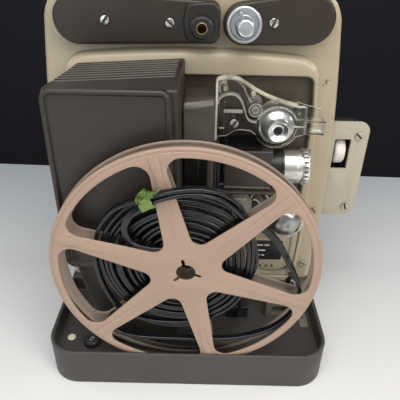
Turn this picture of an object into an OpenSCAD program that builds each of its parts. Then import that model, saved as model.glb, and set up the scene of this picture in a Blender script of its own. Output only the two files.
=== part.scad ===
// Small-gauge home movie projector with folded reel arms, lamp house,
// clear self-threading guides, a storage tray in its base and a spare
// film reel that holds the mains cord set.
// Frame: origin at the centre of the base's underside, +X the way the
// lens points, -Y the operator's side, +Z up. Millimetres.

/* [Base] */
// Width of the base
base_w = 211; // [206:1:216]
// Depth of the base
base_d = 170; // [168:1:174]
// Height of the base rim
base_h = 32.5; // [31:0.5:34]
// Height of the tray floor above the table
tray_floor = 18.4; // [17:0.1:19]
// Thickness of the base walls
base_t = 3; // [2.4:0.1:3]
// Corner radius of the base in plan
base_r = 22; // [16:1:24]

/* [Casing] */
// Widest half width of the casing
case_hw = 108.6; // [107:0.2:109]
// Top of the casing above the table
case_top = 273.5; // [272:0.5:280]
// Radius of the casing's top corners
case_r = 29; // [24:1:32]
// Front plane of the casing border
border_y = 6; // [5.5:0.1:6]
// Rear plane of the casing
rear_y = 82; // [80:0.5:84]
// Wall thickness of the casing
case_t = 3; // [2.2:0.1:3]

/* [Reel] */
// Diameter of the film reel
reel_dia = 178; // [176:1:178]
// Overall width of the film reel
reel_w = 13.5; // [13:0.1:13.5]
// Diameter of the reel's hub bore
reel_bore = 12.7; // [12.6:0.05:12.8]
// Number of reel spokes
reel_spokes = 6; // [3:1:6]

/* [Lens] */
// Outer diameter of the lens barrel
lens_dia = 25; // [24:0.2:25.4]
// Focus travel of the lens
lens_travel = 3; // [2:0.5:3]

/* [Lamp house] */
// Number of louvre slots in the lamp house top
louvres = 10; // [6:1:11]
// Height of the lamp house top
lamp_top = 222; // [218:0.5:223]

/* [Hidden] */
$fn = 64;
e = 0.3;                         // clearance between bodies
reel_x = -1; reel_y = -82;       // reel centre and front face
reel_z = tray_floor + 0.2 + reel_dia / 2;
house_y = -3;                    // front of the raised housing
lens_y = -14; lens_z = 153.3;    // optical axis, along X
shaft_y = 20; shaft_z = 138;     // shutter shaft, along X
motor_y = 51; motor_z = 75;      // motor axis, along X
us_x = 58.4; us_z = 185.8;       // upper sprocket axis, along Y
ls_x = 74; ls_z = 104.4;         // lower sprocket axis, along Y
ra_x = -73.5; ra_z = 250.4;      // rear arm pivot, along Y
fa_x = 75.8; fa_z = 252.2;       // front arm pivot, along Y
rs_x = 6.3; rs_z = 247;          // rear arm spindle, along Y
fs_x = 33.3; fs_z = 248.6;       // front arm spindle, along Y
lv_x = 70; lv_z = 67;            // control lever pivot, along Y
lv_r = 22.4;                     // lever radius to its knob
lv_a = -49;                      // lever rest angle
tw_x = 118; tw_y = 29.5; tw_z = 148.7; // thumbwheel axis, along X
coil_x = -5; coil_z = reel_z + 6;      // cord coil centre

beige = [0.70, 0.65, 0.55];
umber = [0.24, 0.21, 0.19];
tan_ = [0.66, 0.53, 0.45];

// ---------- shared shapes ----------
// rounded rectangle between two corners
module rr(x0, y0, x1, y1, r) {
  translate([x0 + r, y0]) square([x1 - x0 - 2*r, y1 - y0]);
  translate([x0, y0 + r]) square([x1 - x0, y1 - y0 - 2*r]);
  for (x = [x0 + r, x1 - r], y = [y0 + r, y1 - r]) translate([x, y]) circle(r);
}
// turns a flat outline in X-Z into a slab whose back is at y = yb and that grows towards the operator
module face(yb) { translate([0, yb, 0]) rotate([90, 0, 0]) children(); }
// cylinder along Y from y0 to y1
module ycyl(x, z, y0, y1, r) { translate([x, max(y0, y1), z]) rotate([90, 0, 0]) cylinder(r = r, h = abs(y1 - y0)); }
// cylinder along X from x0 to x1
module xcyl(y, z, x0, x1, r) { translate([min(x0, x1), y, z]) rotate([0, 90, 0]) cylinder(r = r, h = abs(x1 - x0)); }
// slotted round-head screw on a face at y = yf, head towards the operator
module yscrew(x, z, yf, r, h, turn) {
  difference() {
    union() {
      ycyl(x, z, yf - h, yf, r);
      ycyl(x, z, yf, yf + 3, r * 0.5 - 0.05);
    }
    translate([x, yf - h, z]) rotate([0, turn, 0]) cube([r * 2.4, h, r * 0.36], center = true);
  }
}
// half width of the casing at height z
function hw(z) = z > 100 ? case_hw - 8.4 * pow((z - 100) / 140, 2) : case_hw - 3.4 * pow((100 - z) / 67, 2);
// casing outline, inset by d, from height zb up
function case_pts(d, zb, zt) = let (zc = zt - case_r, n = 12, m = 10, xr = hw(zc))
  concat(
    [for (i = [0 : n]) let (z = zb + d + (zc - zb - d) * i / n) [hw(z) - d, z]],
    [for (i = [1 : m]) let (a = 90 * i / m) [xr - case_r + (case_r - d) * cos(a), zc + (case_r - d) * sin(a)]],
    [for (i = [m : -1 : 1]) let (a = 90 * i / m) [-(xr - case_r + (case_r - d) * cos(a)), zc + (case_r - d) * sin(a)]],
    [for (i = [n : -1 : 0]) let (z = zb + d + (zc - zb - d) * i / n) [-(hw(z) - d), z]]);
// raised housing outline, inset by d
function house_pts(d) = let (n = 10, m = 6, zb = 33.4 + d, zt = 232 - d, r = 15 - d, zc = zt - r, xr = hw(zc) - 14.6 - d)
  concat(
    [for (i = [0 : n]) let (z = zb + (zc - zb) * i / n) [hw(z) - 14.6 - d, z]],
    [for (i = [1 : m]) let (a = 90 * i / m) [xr - r + r * cos(a), zc + r * sin(a)]],
    [for (i = [m : -1 : 1]) let (a = 90 * i / m) [-(xr - r + r * cos(a)), zc + r * sin(a)]],
    [for (i = [n : -1 : 0]) let (z = zb + (zc - zb) * i / n) [-(hw(z) - 14.6 - d), z]]);
// window in the housing
function window_pts() = let (n = 8, m = 6, zb = 40, zt = 215.4, r = 6, zc = zt - r, xr = hw(zc) - 19.2)
  concat(
    [for (i = [0 : n]) let (z = zb + (zc - zb) * i / n) [hw(z) - 19.2, z]],
    [for (i = [1 : m]) let (a = 90 * i / m) [xr - r + r * cos(a), zc + r * sin(a)]],
    [for (i = [m : -1 : 1]) let (a = 90 * i / m) [-(xr - r + r * cos(a)), zc + r * sin(a)]],
    [for (i = [n : -1 : 0]) let (z = zb + (zc - zb) * i / n) [-(hw(z) - 19.2), z]]);
// toothed disc
module toothed(r, teeth, h, depth) {
  difference() {
    cylinder(r = r, h = h);
    for (i = [0 : teeth - 1]) rotate([0, 0, 360 * i / teeth])
      translate([r, 0, h / 2]) cube([depth * 2, 3.14159 * r / teeth, h + 1], center = true);
  }
}
// one reel window between two spokes, centred on the X axis
module reel_window() {
  hull() {
    translate([31.5, 0]) circle(r = 6.5, $fn = 24);
    for (a = [-21.6 : 7.2 : 21.7]) rotate(a) translate([75.6, 0]) circle(r = 6, $fn = 24);
  }
}
// sweep of an n-sided tube of diameter d along points p
function unit(v) = v / norm(v);
function tangent(p, i) = unit(p[min(i + 1, len(p) - 1)] - p[max(i - 1, 0)]);
function side(t) = unit(cross(t, abs(t[2]) > 0.9 ? [1, 0, 0] : [0, 0, 1]));
function ring(p, i, d, n) = let (t = tangent(p, i), s = side(t), u = cross(s, t))
  [for (k = [0 : n - 1]) p[i] + d / 2 * (cos(360 * k / n) * s + sin(360 * k / n) * u)];
module sweep(p, d, n) {
  m = len(p);
  polyhedron(
    points = [for (i = [0 : m - 1]) each ring(p, i, d, n)],
    faces = concat(
      [[for (k = [0 : n - 1]) n - 1 - k]],
      [for (i = [0 : m - 2], k = [0 : n - 1]) [i*n + k, i*n + (k+1)%n, (i+1)*n + (k+1)%n]],
      [for (i = [0 : m - 2], k = [0 : n - 1]) [i*n + k, (i+1)*n + (k+1)%n, (i+1)*n + k]],
      [[for (k = [0 : n - 1]) (m - 1)*n + k]]));
}

// ---------- base ----------
module base_tray() color(umber) {
  difference() {
    linear_extrude(base_h) rr(-base_w/2, -base_d/2, base_w/2, base_d/2, base_r);
    // storage well in front of the casing
    translate([0, 0, tray_floor]) linear_extrude(base_h) difference() {
      rr(-base_w/2 + base_t, -base_d/2 + base_t - 0.5, base_w/2 - base_t, base_d/2 - base_t, base_r - base_t);
      translate([-base_w, -1]) square([2 * base_w, base_d]);
    }
    // hollow underside
    translate([0, 0, -1]) linear_extrude(tray_floor - base_t + 1)
      rr(-base_w/2 + base_t, -base_d/2 + base_t, base_w/2 - base_t, base_d/2 - base_t, base_r - base_t);
    // under the casing deck
    translate([0, 0, -1]) linear_extrude(base_h - base_t + 1) intersection() {
      rr(-base_w/2 + base_t, -base_d/2 + base_t, base_w/2 - base_t, base_d/2 - base_t, base_r - base_t);
      translate([-base_w, 2]) square([2 * base_w, base_d]);
    }
  }
  // foot bosses
  for (x = [-84, 84], y = [-64, 64])
    translate([x, y, 3]) cylinder(r = 7, h = (y < 0 ? tray_floor : base_h) - base_t - 3 + 0.5);
}
module base_feet() color([0.08, 0.08, 0.08])
  for (x = [-84, 84], y = [-64, 64]) translate([x, y, 0]) difference() {
    cylinder(r = 8, h = 3);
    translate([0, 0, -1]) cylinder(r = 2.2, h = 2.6);
  }
module tray_bumper() color([0.06, 0.06, 0.065])
  translate([-75.5, -62.5, tray_floor]) difference() {
    union() {
      cylinder(r = 6.4, h = 4.4);
      translate([0, 0, 4.4]) cylinder(r1 = 6.4, r2 = 5, h = 1.6);
    }
    translate([0, 0, 3.4]) cylinder(r = 2.6, h = 4);
  }
module tray_rivet() color([0.86, 0.85, 0.74])
  translate([-93.2, -57.2, tray_floor]) cylinder(r1 = 3.4, r2 = 2.6, h = 0.9);
module tray_catch() color([0.5, 0.48, 0.43])
  translate([92, -42, tray_floor]) difference() {
    cube([7, 15, 1.2]);
    translate([3.5, 11, -1]) cylinder(r = 1.2, h = 4);
  }

// ---------- casing ----------
module front_casting() color(beige) difference() {
  union() {
    difference() {
      face(40) linear_extrude(40 - border_y) polygon(case_pts(0, base_h, case_top));
      face(41) linear_extrude(41 - border_y - case_t) polygon(case_pts(case_t, base_h, case_top));
    }
    // raised housing with a bevelled front edge
    hull() {
      face(border_y + 1) linear_extrude(border_y + 1 - house_y - 5) polygon(house_pts(0));
      face(house_y + 5) linear_extrude(5) polygon(house_pts(4.5));
    }
  }
  face(border_y + case_t + 1) linear_extrude(30) polygon(window_pts());
  // screw and latch holes in the border
  ycyl(100.3, 103.6, 5, 10, 1.6);
  ycyl(98.6, 48.2, 5, 10, 1.6);
  ycyl(-100.3, 103.6, 5, 10, 1.6);
  ycyl(-98.6, 48.2, 5, 10, 1.6);
  ycyl(104.8, 81, 5, 10, 2.2);
}
module rear_cover() color(beige) difference() {
  hull() {
    face(rear_y - 8) linear_extrude(rear_y - 8 - 40.3) polygon(case_pts(0, base_h, case_top));
    face(rear_y) linear_extrude(8) polygon(case_pts(6, base_h - 6, case_top));
  }
  face(rear_y - case_t) linear_extrude(60) polygon(case_pts(case_t + 3, base_h - 3, case_top));
  face(rear_y - 10) linear_extrude(60) polygon(case_pts(case_t, base_h, case_top));
  // cooling slots behind the fan and above the motor
  for (i = [0 : 9]) translate([-58, rear_y - 6, 60 + i * 7]) cube([50, 12, 3]);
  for (i = [0 : 5]) translate([36, rear_y - 6, 60 + i * 7]) cube([50, 12, 3]);
}
module mechanism_plate() color(umber) {
  difference() {
    face(5.5) linear_extrude(3) difference() {
      polygon(window_pts());
      polygon([[44, 30], [120, 30], [120, 82.5], [44, 82.5]]);
    }
    translate([1.5, 0, 92]) cube([12, 10, 92]);        // shutter slot
    ycyl(us_x, us_z, 0, 10, 4.2);
    ycyl(ls_x, ls_z, 0, 10, 4.2);
  }
  // bearing blocks of the shutter shaft
  for (x = [28, 84]) difference() {
    translate([x, 5.4, 131]) cube([4, 21, 15]);
    xcyl(shaft_y, shaft_z, x - 1, x + 5, 3.05);
  }
  // sprocket bearings
  for (p = [[us_x, us_z], [ls_x, ls_z]]) difference() {
    ycyl(p[0], p[1], 2.5, 12, 7);
    ycyl(p[0], p[1], 2, 13, 3.05);
  }
}
module casing_screws() color([0.72, 0.72, 0.72]) {
  yscrew(100.3, 103.6, border_y, 3.2, 1.5, 60);
  yscrew(98.6, 48.2, border_y, 3.2, 1.5, 25);
  yscrew(-100.3, 103.6, border_y, 3.2, 1.5, 10);
  yscrew(-98.6, 48.2, border_y, 3.2, 1.5, 80);
  yscrew(129.6, 164.6, 18, 3, 1.4, 40);
  yscrew(129.6, 101, 18, 3, 1.4, 75);
  // screw of the tray bumper
  translate([-75.5, -62.5, tray_floor + 3.4]) difference() {
    cylinder(r = 2.4, h = 1.6);
    translate([-3, -0.4, 1]) cube([6, 0.8, 1]);
  }
}

// ---------- lamp house ----------
lh_pts = [[-85, -61], [-6, -61], [-4.6, -3], [-80.5, -3]];
module lamp_house_body() color(umber) difference() {
  translate([0, 0, 99]) linear_extrude(lamp_top - 99) polygon(lh_pts);
  translate([0, 0, 98]) linear_extrude(lamp_top - 98 - 2.2)
    polygon([[-83, -70], [-8, -70], [-6.8, -5], [-78.6, -5]]);
  // louvres in the top
  for (i = [0 : louvres - 1]) let (y = -46 + i * 4)
    translate([-78.5 + i * 0.28, y, lamp_top - 4]) cube([68 - i * 0.28, 2.2, 8]);
  // light opening towards the gate
  xcyl(lens_y, lens_z, -20, 5, 11);
}
module lamp_house_cover() color(umber) {
  difference() {
    union() {
      face(-61.3) linear_extrude(3.4) rr(-85.6, 97, -9.6, lamp_top + 1, 7);
      face(-64) linear_extrude(2.4) rr(-85.6, 97, -9.6, lamp_top + 1, 7);
    }
    face(-64.6) linear_extrude(5) rr(-81.6, 101, -13.6, lamp_top - 3, 5);
  }
}
module lamp_house_duct() color([0.2, 0.18, 0.165]) difference() {
  face(-4) linear_extrude(56) polygon([[-80, 98.7], [-71, 54], [-68, tray_floor], [-9, tray_floor], [-8, 98.7]]);
  face(-6) linear_extrude(52) polygon([[-78, 99], [-69, 54], [-66, tray_floor + 2], [-11, tray_floor + 2], [-10, 99]]);
}
module lamp() color([0.85, 0.87, 0.9, 0.6])
  translate([-46, lens_y, lens_z]) rotate([0, 90, 0]) {
    // base, reflector cup and bulb
    rotate_extrude() polygon([[0, -4], [4, -4], [4, 2], [6.4, 5], [8, 11], [8.4, 16], [7.4, 16], [7, 11.6], [5.4, 6.6], [3, 4], [0, 4]]);
    translate([0, 0, 3]) cylinder(r = 2.4, h = 9);
    translate([0, 0, 12]) sphere(r = 2.4);
  }
module lamp_socket() color([0.8, 0.78, 0.72]) difference() {
  translate([-62, -22, lens_z - 9]) cube([11.7, 17, 18]);
  for (z = [-3, 3]) xcyl(lens_y, lens_z + z, -56, -48, 1);
}
module gate_housing() color(umber) difference() {
  translate([-4, 0, 0]) rotate([90, 0, 90]) linear_extrude(20)
    polygon(concat([[2.5, 95], [2.5, 206]], [for (a = [90 : 10 : 180]) [-22 + 12 * cos(a), 194 + 12 * sin(a)]], [[-34, 95]]));
  translate([-2, -30, 90]) cube([16, 40, 100]);
  xcyl(lens_y, lens_z, -6, 18, 11);
}
module film_gate() color([0.75, 0.75, 0.76]) difference() {
  translate([16, -27, 122]) cube([2.4, 26, 54]);
  translate([17.6, lens_y - 4.05, 121]) cube([2, 8.1, 70]);       // film channel
  translate([15, lens_y - 2.7, lens_z - 2]) cube([5, 5.4, 4]);    // aperture
}
pin_yz = [[-25, 143], [-3, 164]];
module pressure_plate() color([0.6, 0.6, 0.62]) difference() {
  union() {
    translate([19, -27, 134]) cube([1.6, 26, 39]);
    for (p = pin_yz) xcyl(p[0], p[1], 19, 27, 1);
  }
  translate([18, lens_y - 4, lens_z - 4]) cube([4, 8, 8]);
}

// ---------- lens ----------
lr = lens_dia / 2;
module lens_carrier() color([0.16, 0.145, 0.135]) difference() {
  union() {
    translate([24, -28, 139]) cube([33, 30.5, 31.6]);
    translate([24, -31, 131]) cube([41, 33.5, 4.4]);
    translate([24, -6, 131]) cube([6, 8.5, 12]);
  }
  xcyl(lens_y, lens_z, 20, 64, 11.5);
  for (p = pin_yz) xcyl(p[0], p[1], 20, 31, 1.08);
}
module lens_collar() color([0.05, 0.05, 0.05]) difference() {
  union() {
    xcyl(lens_y, lens_z, 57, 63.6, 13);
    xcyl(lens_y, lens_z, 63.6, 64.4, 12.5);
    xcyl(lens_y, lens_z, 64.4, 66, 13);
  }
  xcyl(lens_y, lens_z, 56, 68, 11.5);
}
module lens_barrel() color([0.8, 0.8, 0.79]) difference() {
  union() {
    xcyl(lens_y, lens_z, 30, 67, 11.45);
    xcyl(lens_y, lens_z, 66.3, 75.4, lr);
    xcyl(lens_y, lens_z, 75.4, 76, lr - 0.4);
    xcyl(lens_y, lens_z, 76, 79.2, lr);
    xcyl(lens_y, lens_z, 79.2, 80, lr - 0.8);
  }
  xcyl(lens_y, lens_z, 20, 90, 9.4);
  xcyl(lens_y, lens_z, 74, 90, 10.4);
}
module lens_ring() color([0.84, 0.84, 0.83]) difference() {
  translate([80, lens_y, lens_z]) rotate([0, 90, 0]) difference() {
    union() {
      toothed(lr + 0.9, 26, 3.6, 0.7);
      translate([0, 0, 3.6]) cylinder(r1 = lr + 0.2, r2 = lr - 0.8, h = 1.2);
    }
    translate([0, 0, -1]) cylinder(r = 9.4, h = 8);
    translate([0, 0, 2.4]) cylinder(r1 = 9.4, r2 = 11, h = 2.5);
  }
}
module lens_front_glass() color([0.5, 0.55, 0.65, 0.5])
  translate([74, lens_y, lens_z]) rotate([0, 90, 0]) {
    cylinder(r = 10.35, h = 2.4);
    translate([0, 0, 2.4]) intersection() {
      cylinder(r = 9.3, h = 3);
      translate([0, 0, -22]) sphere(r = 24, $fn = 96);
    }
  }

// ---------- film transport ----------
module upper_sprocket() color([0.82, 0.82, 0.83]) translate([us_x, 0, us_z]) rotate([90, 0, 0]) difference() {
  union() {
    translate([0, 0, -24]) cylinder(r = 3, h = 30);                 // shaft
    translate([0, 0, 4]) cylinder(r = 11, h = 2);                   // inner flange
    translate([0, 0, 6]) toothed(9.6, 24, 8, 0.8);                  // toothed drum
    translate([0, 0, 14]) rotate_extrude() polygon(concat(
      [[0, 0], [13, 0]],
      [for (a = [0 : 10 : 60]) [3.4 + 9.6 * cos(a), 1.6 + 9.8 * sin(a)]],
      [[7.6, 11.4], [6.9, 15.4], [5.6, 16.4], [0, 16.4]]));
  }
  translate([0, 0, 25]) cylinder(r1 = 2.4, r2 = 3.1, h = 6);
}
module upper_gear() color([0.62, 0.5, 0.26]) translate([us_x, 22, us_z]) rotate([90, 0, 0]) difference() {
  toothed(41.2, 96, 4, 1);
  translate([0, 0, -1]) cylinder(r = 3.02, h = 6);
  for (a = [0 : 60 : 300]) rotate(a) translate([23, 0, -1]) cylinder(r = 8, h = 6);
}
// clear threading guide: a front sheet with shallow ribs, on posts
guide_top = [[17.8, 217], [20.2, 218.5], [25.5, 219.3], [30, 219], [34.7, 216.5], [39.6, 212.7], [46, 208.5], [52.5, 205.5], [58.9, 203.2], [65.3, 201.8]];
module upper_film_guide() color([0.85, 0.87, 0.86, 0.4]) {
  difference() {
    face(-20.4) linear_extrude(2) difference() {
      union() {
        polygon(concat([[16.4, 178], [16.4, 215.4]], guide_top, [[71.6, 201.1], [88.6, 199.4], [90.8, 190.4], [91, 181], [77, 181],
          [71.4, 177.1], [58.4, 174], [46, 180], [40.9, 183.4], [34.5, 184.1], [25, 179.6], [18.4, 178]]));
        translate([us_x, us_z]) circle(14.8);
      }
      translate([us_x, us_z]) circle(13.4);
      translate([28.8, 190.4]) circle(1.5);
    }
    // mouth of the film slot
    translate([85.5, -30, 180]) cube([1, 20, 10]);
  }
  // frosted top flange and left edge
  face(-17) linear_extrude(3.5) polygon(concat(guide_top, [for (i = [len(guide_top) - 1 : -1 : 0]) guide_top[i] - [0.4, 1.7]]));
  face(-15) linear_extrude(5.5) polygon([[16.4, 179], [16.4, 215.4], [17.8, 217], [18, 214], [18, 179]]);
  // the two arched ribs of the film channel
  face(-16.5) linear_extrude(4) polygon([[18.4, 211.5], [19.2, 215.4], [22.5, 217.6], [26.2, 218.2], [30.1, 217.2], [33.6, 213.7], [36.6, 207.8], [40, 202.8],
    [39, 202.2], [35.5, 207.3], [32.6, 213], [29.5, 216.1], [26.2, 217], [23, 216.5], [20.3, 214.8], [19.6, 211.5]]);
  face(-16.5) linear_extrude(4) polygon([[16.8, 203.6], [18.4, 206.8], [22.2, 208.5], [26.8, 208.5], [30.8, 206.3], [33.7, 202.3], [36, 197.5], [37.9, 191.8], [40.4, 190.1], [43.6, 190.2],
    [43.6, 189], [39.7, 189], [36.8, 191.2], [34.9, 197], [32.6, 201.7], [30.1, 205.2], [26.5, 207.3], [22.5, 207.3], [19.2, 205.9], [17.8, 203]]);
  // frame of the exit block
  face(-12) linear_extrude(8.5) difference() {
    polygon([[77.6, 181.2], [84.6, 181.2], [84.6, 190.2], [77.6, 190.2]]);
    polygon([[78.8, 182.4], [83.4, 182.4], [83.4, 189], [78.8, 189]]);
  }
  // roller posts, stub and screw boss
  ycyl(43.2, 197, 2.5, -20.6, 1.5);
  ycyl(72.6, 195.6, 2.5, -20.6, 1.5);
  ycyl(40.4, 209.4, -12, -20.6, 1.6);
  difference() { ycyl(28.8, 190.4, 2.5, -20.5, 3); ycyl(28.8, 190.4, -18, -30, 1.5); }
  // light bar across the guide
  translate([21.6, -23.2, 196.4]) cube([12.6, 1, 2.2]);
}
module guide_roller() color([0.8, 0.8, 0.78]) difference() {
  union() { ycyl(43.2, 197, -5, -19.6, 4.6); ycyl(43.2, 197, -5, -8, 5.2); }
  ycyl(43.2, 197, 0, -30, 1.55);
}
module exit_roller() color([0.3, 0.29, 0.28]) difference() {
  ycyl(72.6, 195.6, -4, -19.6, 3.8);
  ycyl(72.6, 195.6, 0, -30, 1.55);
}
module guide_screws() color([0.74, 0.74, 0.74]) {
  yscrew(28.8, 190.4, -22.4, 3, 1.5, 40);
}
module lower_sprocket() color([0.8, 0.8, 0.81]) translate([ls_x, 0, ls_z]) rotate([90, 0, 0]) difference() {
  union() {
    translate([0, 0, -24]) cylinder(r = 3, h = 30);
    translate([0, 0, 4]) cylinder(r = 11, h = 2);
    translate([0, 0, 6]) toothed(9.6, 24, 8, 0.8);
    translate([0, 0, 14]) rotate_extrude() polygon(concat([[0, 0], [11, 0]], [for (a = [0 : 15 : 90]) [3 + 8 * cos(a), 1 + 5 * sin(a)]], [[0, 6]]));
  }
}
module lower_gear() color([0.62, 0.5, 0.26]) translate([ls_x, 22, ls_z]) rotate([90, 0, 0]) difference() {
  toothed(27.2, 64, 4, 1);
  translate([0, 0, -1]) cylinder(r = 3.02, h = 6);
  for (a = [0 : 60 : 300]) rotate(a) translate([15, 0, -1]) cylinder(r = 5, h = 6);
}
module lower_film_guide() color([0.8, 0.82, 0.81, 0.45]) {
  // backing sheet
  face(2.5) linear_extrude(1.6) difference() {
    polygon([[32.5, 117], [32.5, 129], [52, 130], [66, 121], [88, 118], [88, 93], [62, 93], [55, 110], [46, 117]]);
    translate([ls_x, ls_z]) circle(12.4);
  }
  // shroud around the lower sprocket
  face(2.5) linear_extrude(17) difference() {
    translate([ls_x, ls_z]) circle(14.7);
    translate([ls_x, ls_z]) circle(13.4);
    polygon([[ls_x, ls_z], [ls_x - 40, ls_z - 4], [ls_x - 40, ls_z + 40], [ls_x + 6, ls_z + 40]]);
  }
  // loop former below the lens shelf
  difference() {
    translate([31.5, -24, 119]) cube([14, 26.5, 10.6]);
    translate([30, -21.5, 121]) cube([13.4, 19, 10]);
  }
  face(2.5) linear_extrude(17) polygon([[47, 124], [50, 125], [57, 118], [60, 112], [58.6, 111.4], [55.4, 117], [50, 122.6]]);
}

// ---------- controls ----------
module control_plate() color([0.74, 0.70, 0.61]) difference() {
  union() {
    face(1.5) linear_extrude(2.5) polygon([[44.4, 40.6], [hw(40) - 19.8, 40.6], [hw(60) - 19.8, 60], [hw(82) - 19.8, 82.2], [44.4, 82.2]]);
    face(2.5) linear_extrude(3.5) polygon([[44.4, 82.1], [hw(82) - 19.8, 82.1], [hw(86) - 19.8, 86], [44.4, 86]]);
  }
  // arc slot of the lever
  translate([lv_x, 3, lv_z]) rotate([90, 0, 0]) difference() {
    cylinder(r = lv_r + 1.8, h = 6);
    translate([0, 0, -1]) cylinder(r = lv_r - 1.8, h = 8);
    translate([0, 0, -1]) linear_extrude(8) polygon([[0, 0], 60 * [cos(lv_a + 7), sin(lv_a + 7)], [80, 60], [-80, 60], 60 * [cos(lv_a - 67), sin(lv_a - 67)]]);
  }
  ycyl(lv_x, lv_z, -3, 5, 2.55);
}
module control_lever() color([0.7, 0.7, 0.7]) {
  ycyl(lv_x, lv_z, -0.6, 6.4, 2.5);
  ycyl(lv_x, lv_z, 2, 4, 5);
  translate([lv_x, 2, lv_z]) rotate([0, -lv_a, 0]) translate([0, 0.1, -2.1]) cube([lv_r, 1.8, 4.2]);
  ycyl(lv_x + lv_r * cos(lv_a), lv_z + lv_r * sin(lv_a), 4, -13.6, 1.4);
  ycyl(lv_x + lv_r * cos(lv_a), lv_z + lv_r * sin(lv_a), 2, 4, 2.3);
}
module lever_knob() color([0.04, 0.04, 0.045])
  translate([lv_x + lv_r * cos(lv_a), -16, lv_z + lv_r * sin(lv_a)]) difference() {
    union() {
      sphere(r = 5.2);
      rotate([-90, 0, 0]) cylinder(r = 3, h = 6);
    }
    rotate([-90, 0, 0]) translate([0, 0, 2.4]) cylinder(r = 1.4, h = 6);
  }
module side_box_body() color([0.30, 0.27, 0.24]) difference() {
  union() {
    face(31) linear_extrude(10.5) rr(100, 94.6, 134, 174.6, 8);
    face(44) linear_extrude(14) rr(100, 130, 128, 166, 9);
  }
  face(60) linear_extrude(50) polygon(case_pts(0, base_h, case_top));
  face(29) linear_extrude(20) difference() {
    rr(111, 98, 132, 172, 4);
    for (z = [164.6, 101]) translate([129.6, z]) circle(2.6);
  }
  for (z = [164.6, 101]) ycyl(129.6, z, 19, 25, 1.5);
  face(42) linear_extrude(30) rr(110.6, 134, 126, 163.4, 6);
  xcyl(tw_y, tw_z, 109, 130, 2.05);
}
module side_box_plate() color(beige) difference() {
  face(20.5) linear_extrude(2.5) difference() {
    rr(100, 92.6, 137.4, 175.8, 8);
    rr(111.8, 135.8, 124.4, 161.6, 0.8);
    for (z = [164.6, 101]) translate([129.6, z]) circle(1.6);
  }
  face(60) linear_extrude(50) polygon(case_pts(0, base_h, case_top));
}
module thumbwheel() color([0.9, 0.89, 0.85]) {
  translate([113.6, tw_y, tw_z]) rotate([0, 90, 0]) toothed(11.6, 36, 8.6, 0.8);
  xcyl(tw_y, tw_z, 109.3, 128, 2);
}

// ---------- reel arms ----------
module rear_arm() color(umber) difference() {
  union() {
    face(4) linear_extrude(9) union() {
      translate([ra_x, ra_z]) circle(16.2);
      polygon([[ra_x, ra_z + 16.2], [-5, 262.4], [-5, 236.2], [ra_x, ra_z - 16.2]]);
      rr(-30, 236.2, 18, 262.2, 5);
    }
    face(-4) linear_extrude(3.4) rr(-6, 236.6, 17.8, 261.8, 6);
  }
  ycyl(ra_x, ra_z, -1.8, 10, 4.05);                // pivot bore
  ycyl(rs_x, rs_z, -12, 10, 5.05);                 // spindle bore
  ycyl(-55.7, 250, -6, 0, 1.55);
  ycyl(-14.2, 249, -6, 0, 1.55);
}
module rear_arm_screws() color([0.74, 0.74, 0.74]) {
  yscrew(-55.7, 250, -5, 3, 1.5, 75);
  yscrew(-14.2, 249, -5, 3, 1.5, 130);
}
module rear_spindle_boss() color([0.04, 0.04, 0.04]) difference() {
  union() {
    ycyl(rs_x, rs_z, -10.6, -7.7, 7.6);
    ycyl(rs_x, rs_z, -12, -10.5, 6.2);
    ycyl(rs_x, rs_z, -8, 3.6, 5);
  }
  ycyl(rs_x, rs_z, -14, 5, 3.6);
}
module rear_spindle_bush() color([0.72, 0.55, 0.26]) difference() {
  union() {
    ycyl(rs_x, rs_z, -12.4, 3.4, 3.6);
    ycyl(rs_x, rs_z, -12.8, -12, 4.1);
  }
  ycyl(rs_x, rs_z, -14, 5, 2.5);
}
module front_arm() color(umber) difference() {
  face(4) linear_extrude(9) union() {
    translate([fa_x, fa_z]) circle(16);
    translate([fs_x, fs_z]) circle(13.2);
    polygon([[fa_x - 0.3, fa_z + 16], [fs_x - 0.2, fs_z + 13.2], [fs_x + 0.4, fs_z - 13.2], [fa_x + 0.6, fa_z - 16]]);
  }
  ycyl(fa_x, fa_z, -1.8, 10, 4.05);
  ycyl(fs_x, fs_z, -12, 10, 3.05);
  ycyl(52.2, 250.2, -6, 0, 1.55);
}
module front_arm_screw() color([0.74, 0.74, 0.74]) yscrew(52.2, 250.2, -5, 3, 1.5, 105);
module front_spindle() color([0.8, 0.81, 0.82]) {
  difference() {
    union() {
      ycyl(fs_x, fs_z, -7.2, -5.3, 11.6);
      ycyl(fs_x, fs_z, -7.6, -7.1, 10.6);
    }
  }
  ycyl(fs_x, fs_z, -6, 3.6, 3);
  ycyl(fs_x, fs_z, -19.6, -13, 6);                 // plain pin for the reel's bore
  ycyl(fs_x, fs_z, -13.1, -7.5, 5.75);
  translate([fs_x, -19.6, fs_z]) rotate([90, 0, 0]) cylinder(r1 = 6, r2 = 4.6, h = 1.4);
  // driving key
  translate([fs_x - 2.6, -11.2, fs_z + 4.8]) rotate([0, -24, 0]) cube([2, 3.8, 3.6]);
}
module arm_pivots() color([0.66, 0.66, 0.66])
  for (p = [[ra_x, ra_z], [fa_x, fa_z]]) {
    ycyl(p[0], p[1], -1.4, border_y, 4);
    ycyl(p[0], p[1], 4.4, border_y, 7.5);
  }

// ---------- drive, inside the casing ----------
module motor() color([0.42, 0.43, 0.44]) difference() {
  union() {
    xcyl(motor_y, motor_z, 28, 96, 24.6);
    xcyl(motor_y, motor_z, 25.4, 98.6, 8);
    for (x = [34, 80]) translate([x, motor_y - 14, base_h + case_t + e]) cube([10, 28, motor_z - base_h - case_t - 12]);
  }
  xcyl(motor_y, motor_z, 20, 102, 3.05);
}
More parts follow.
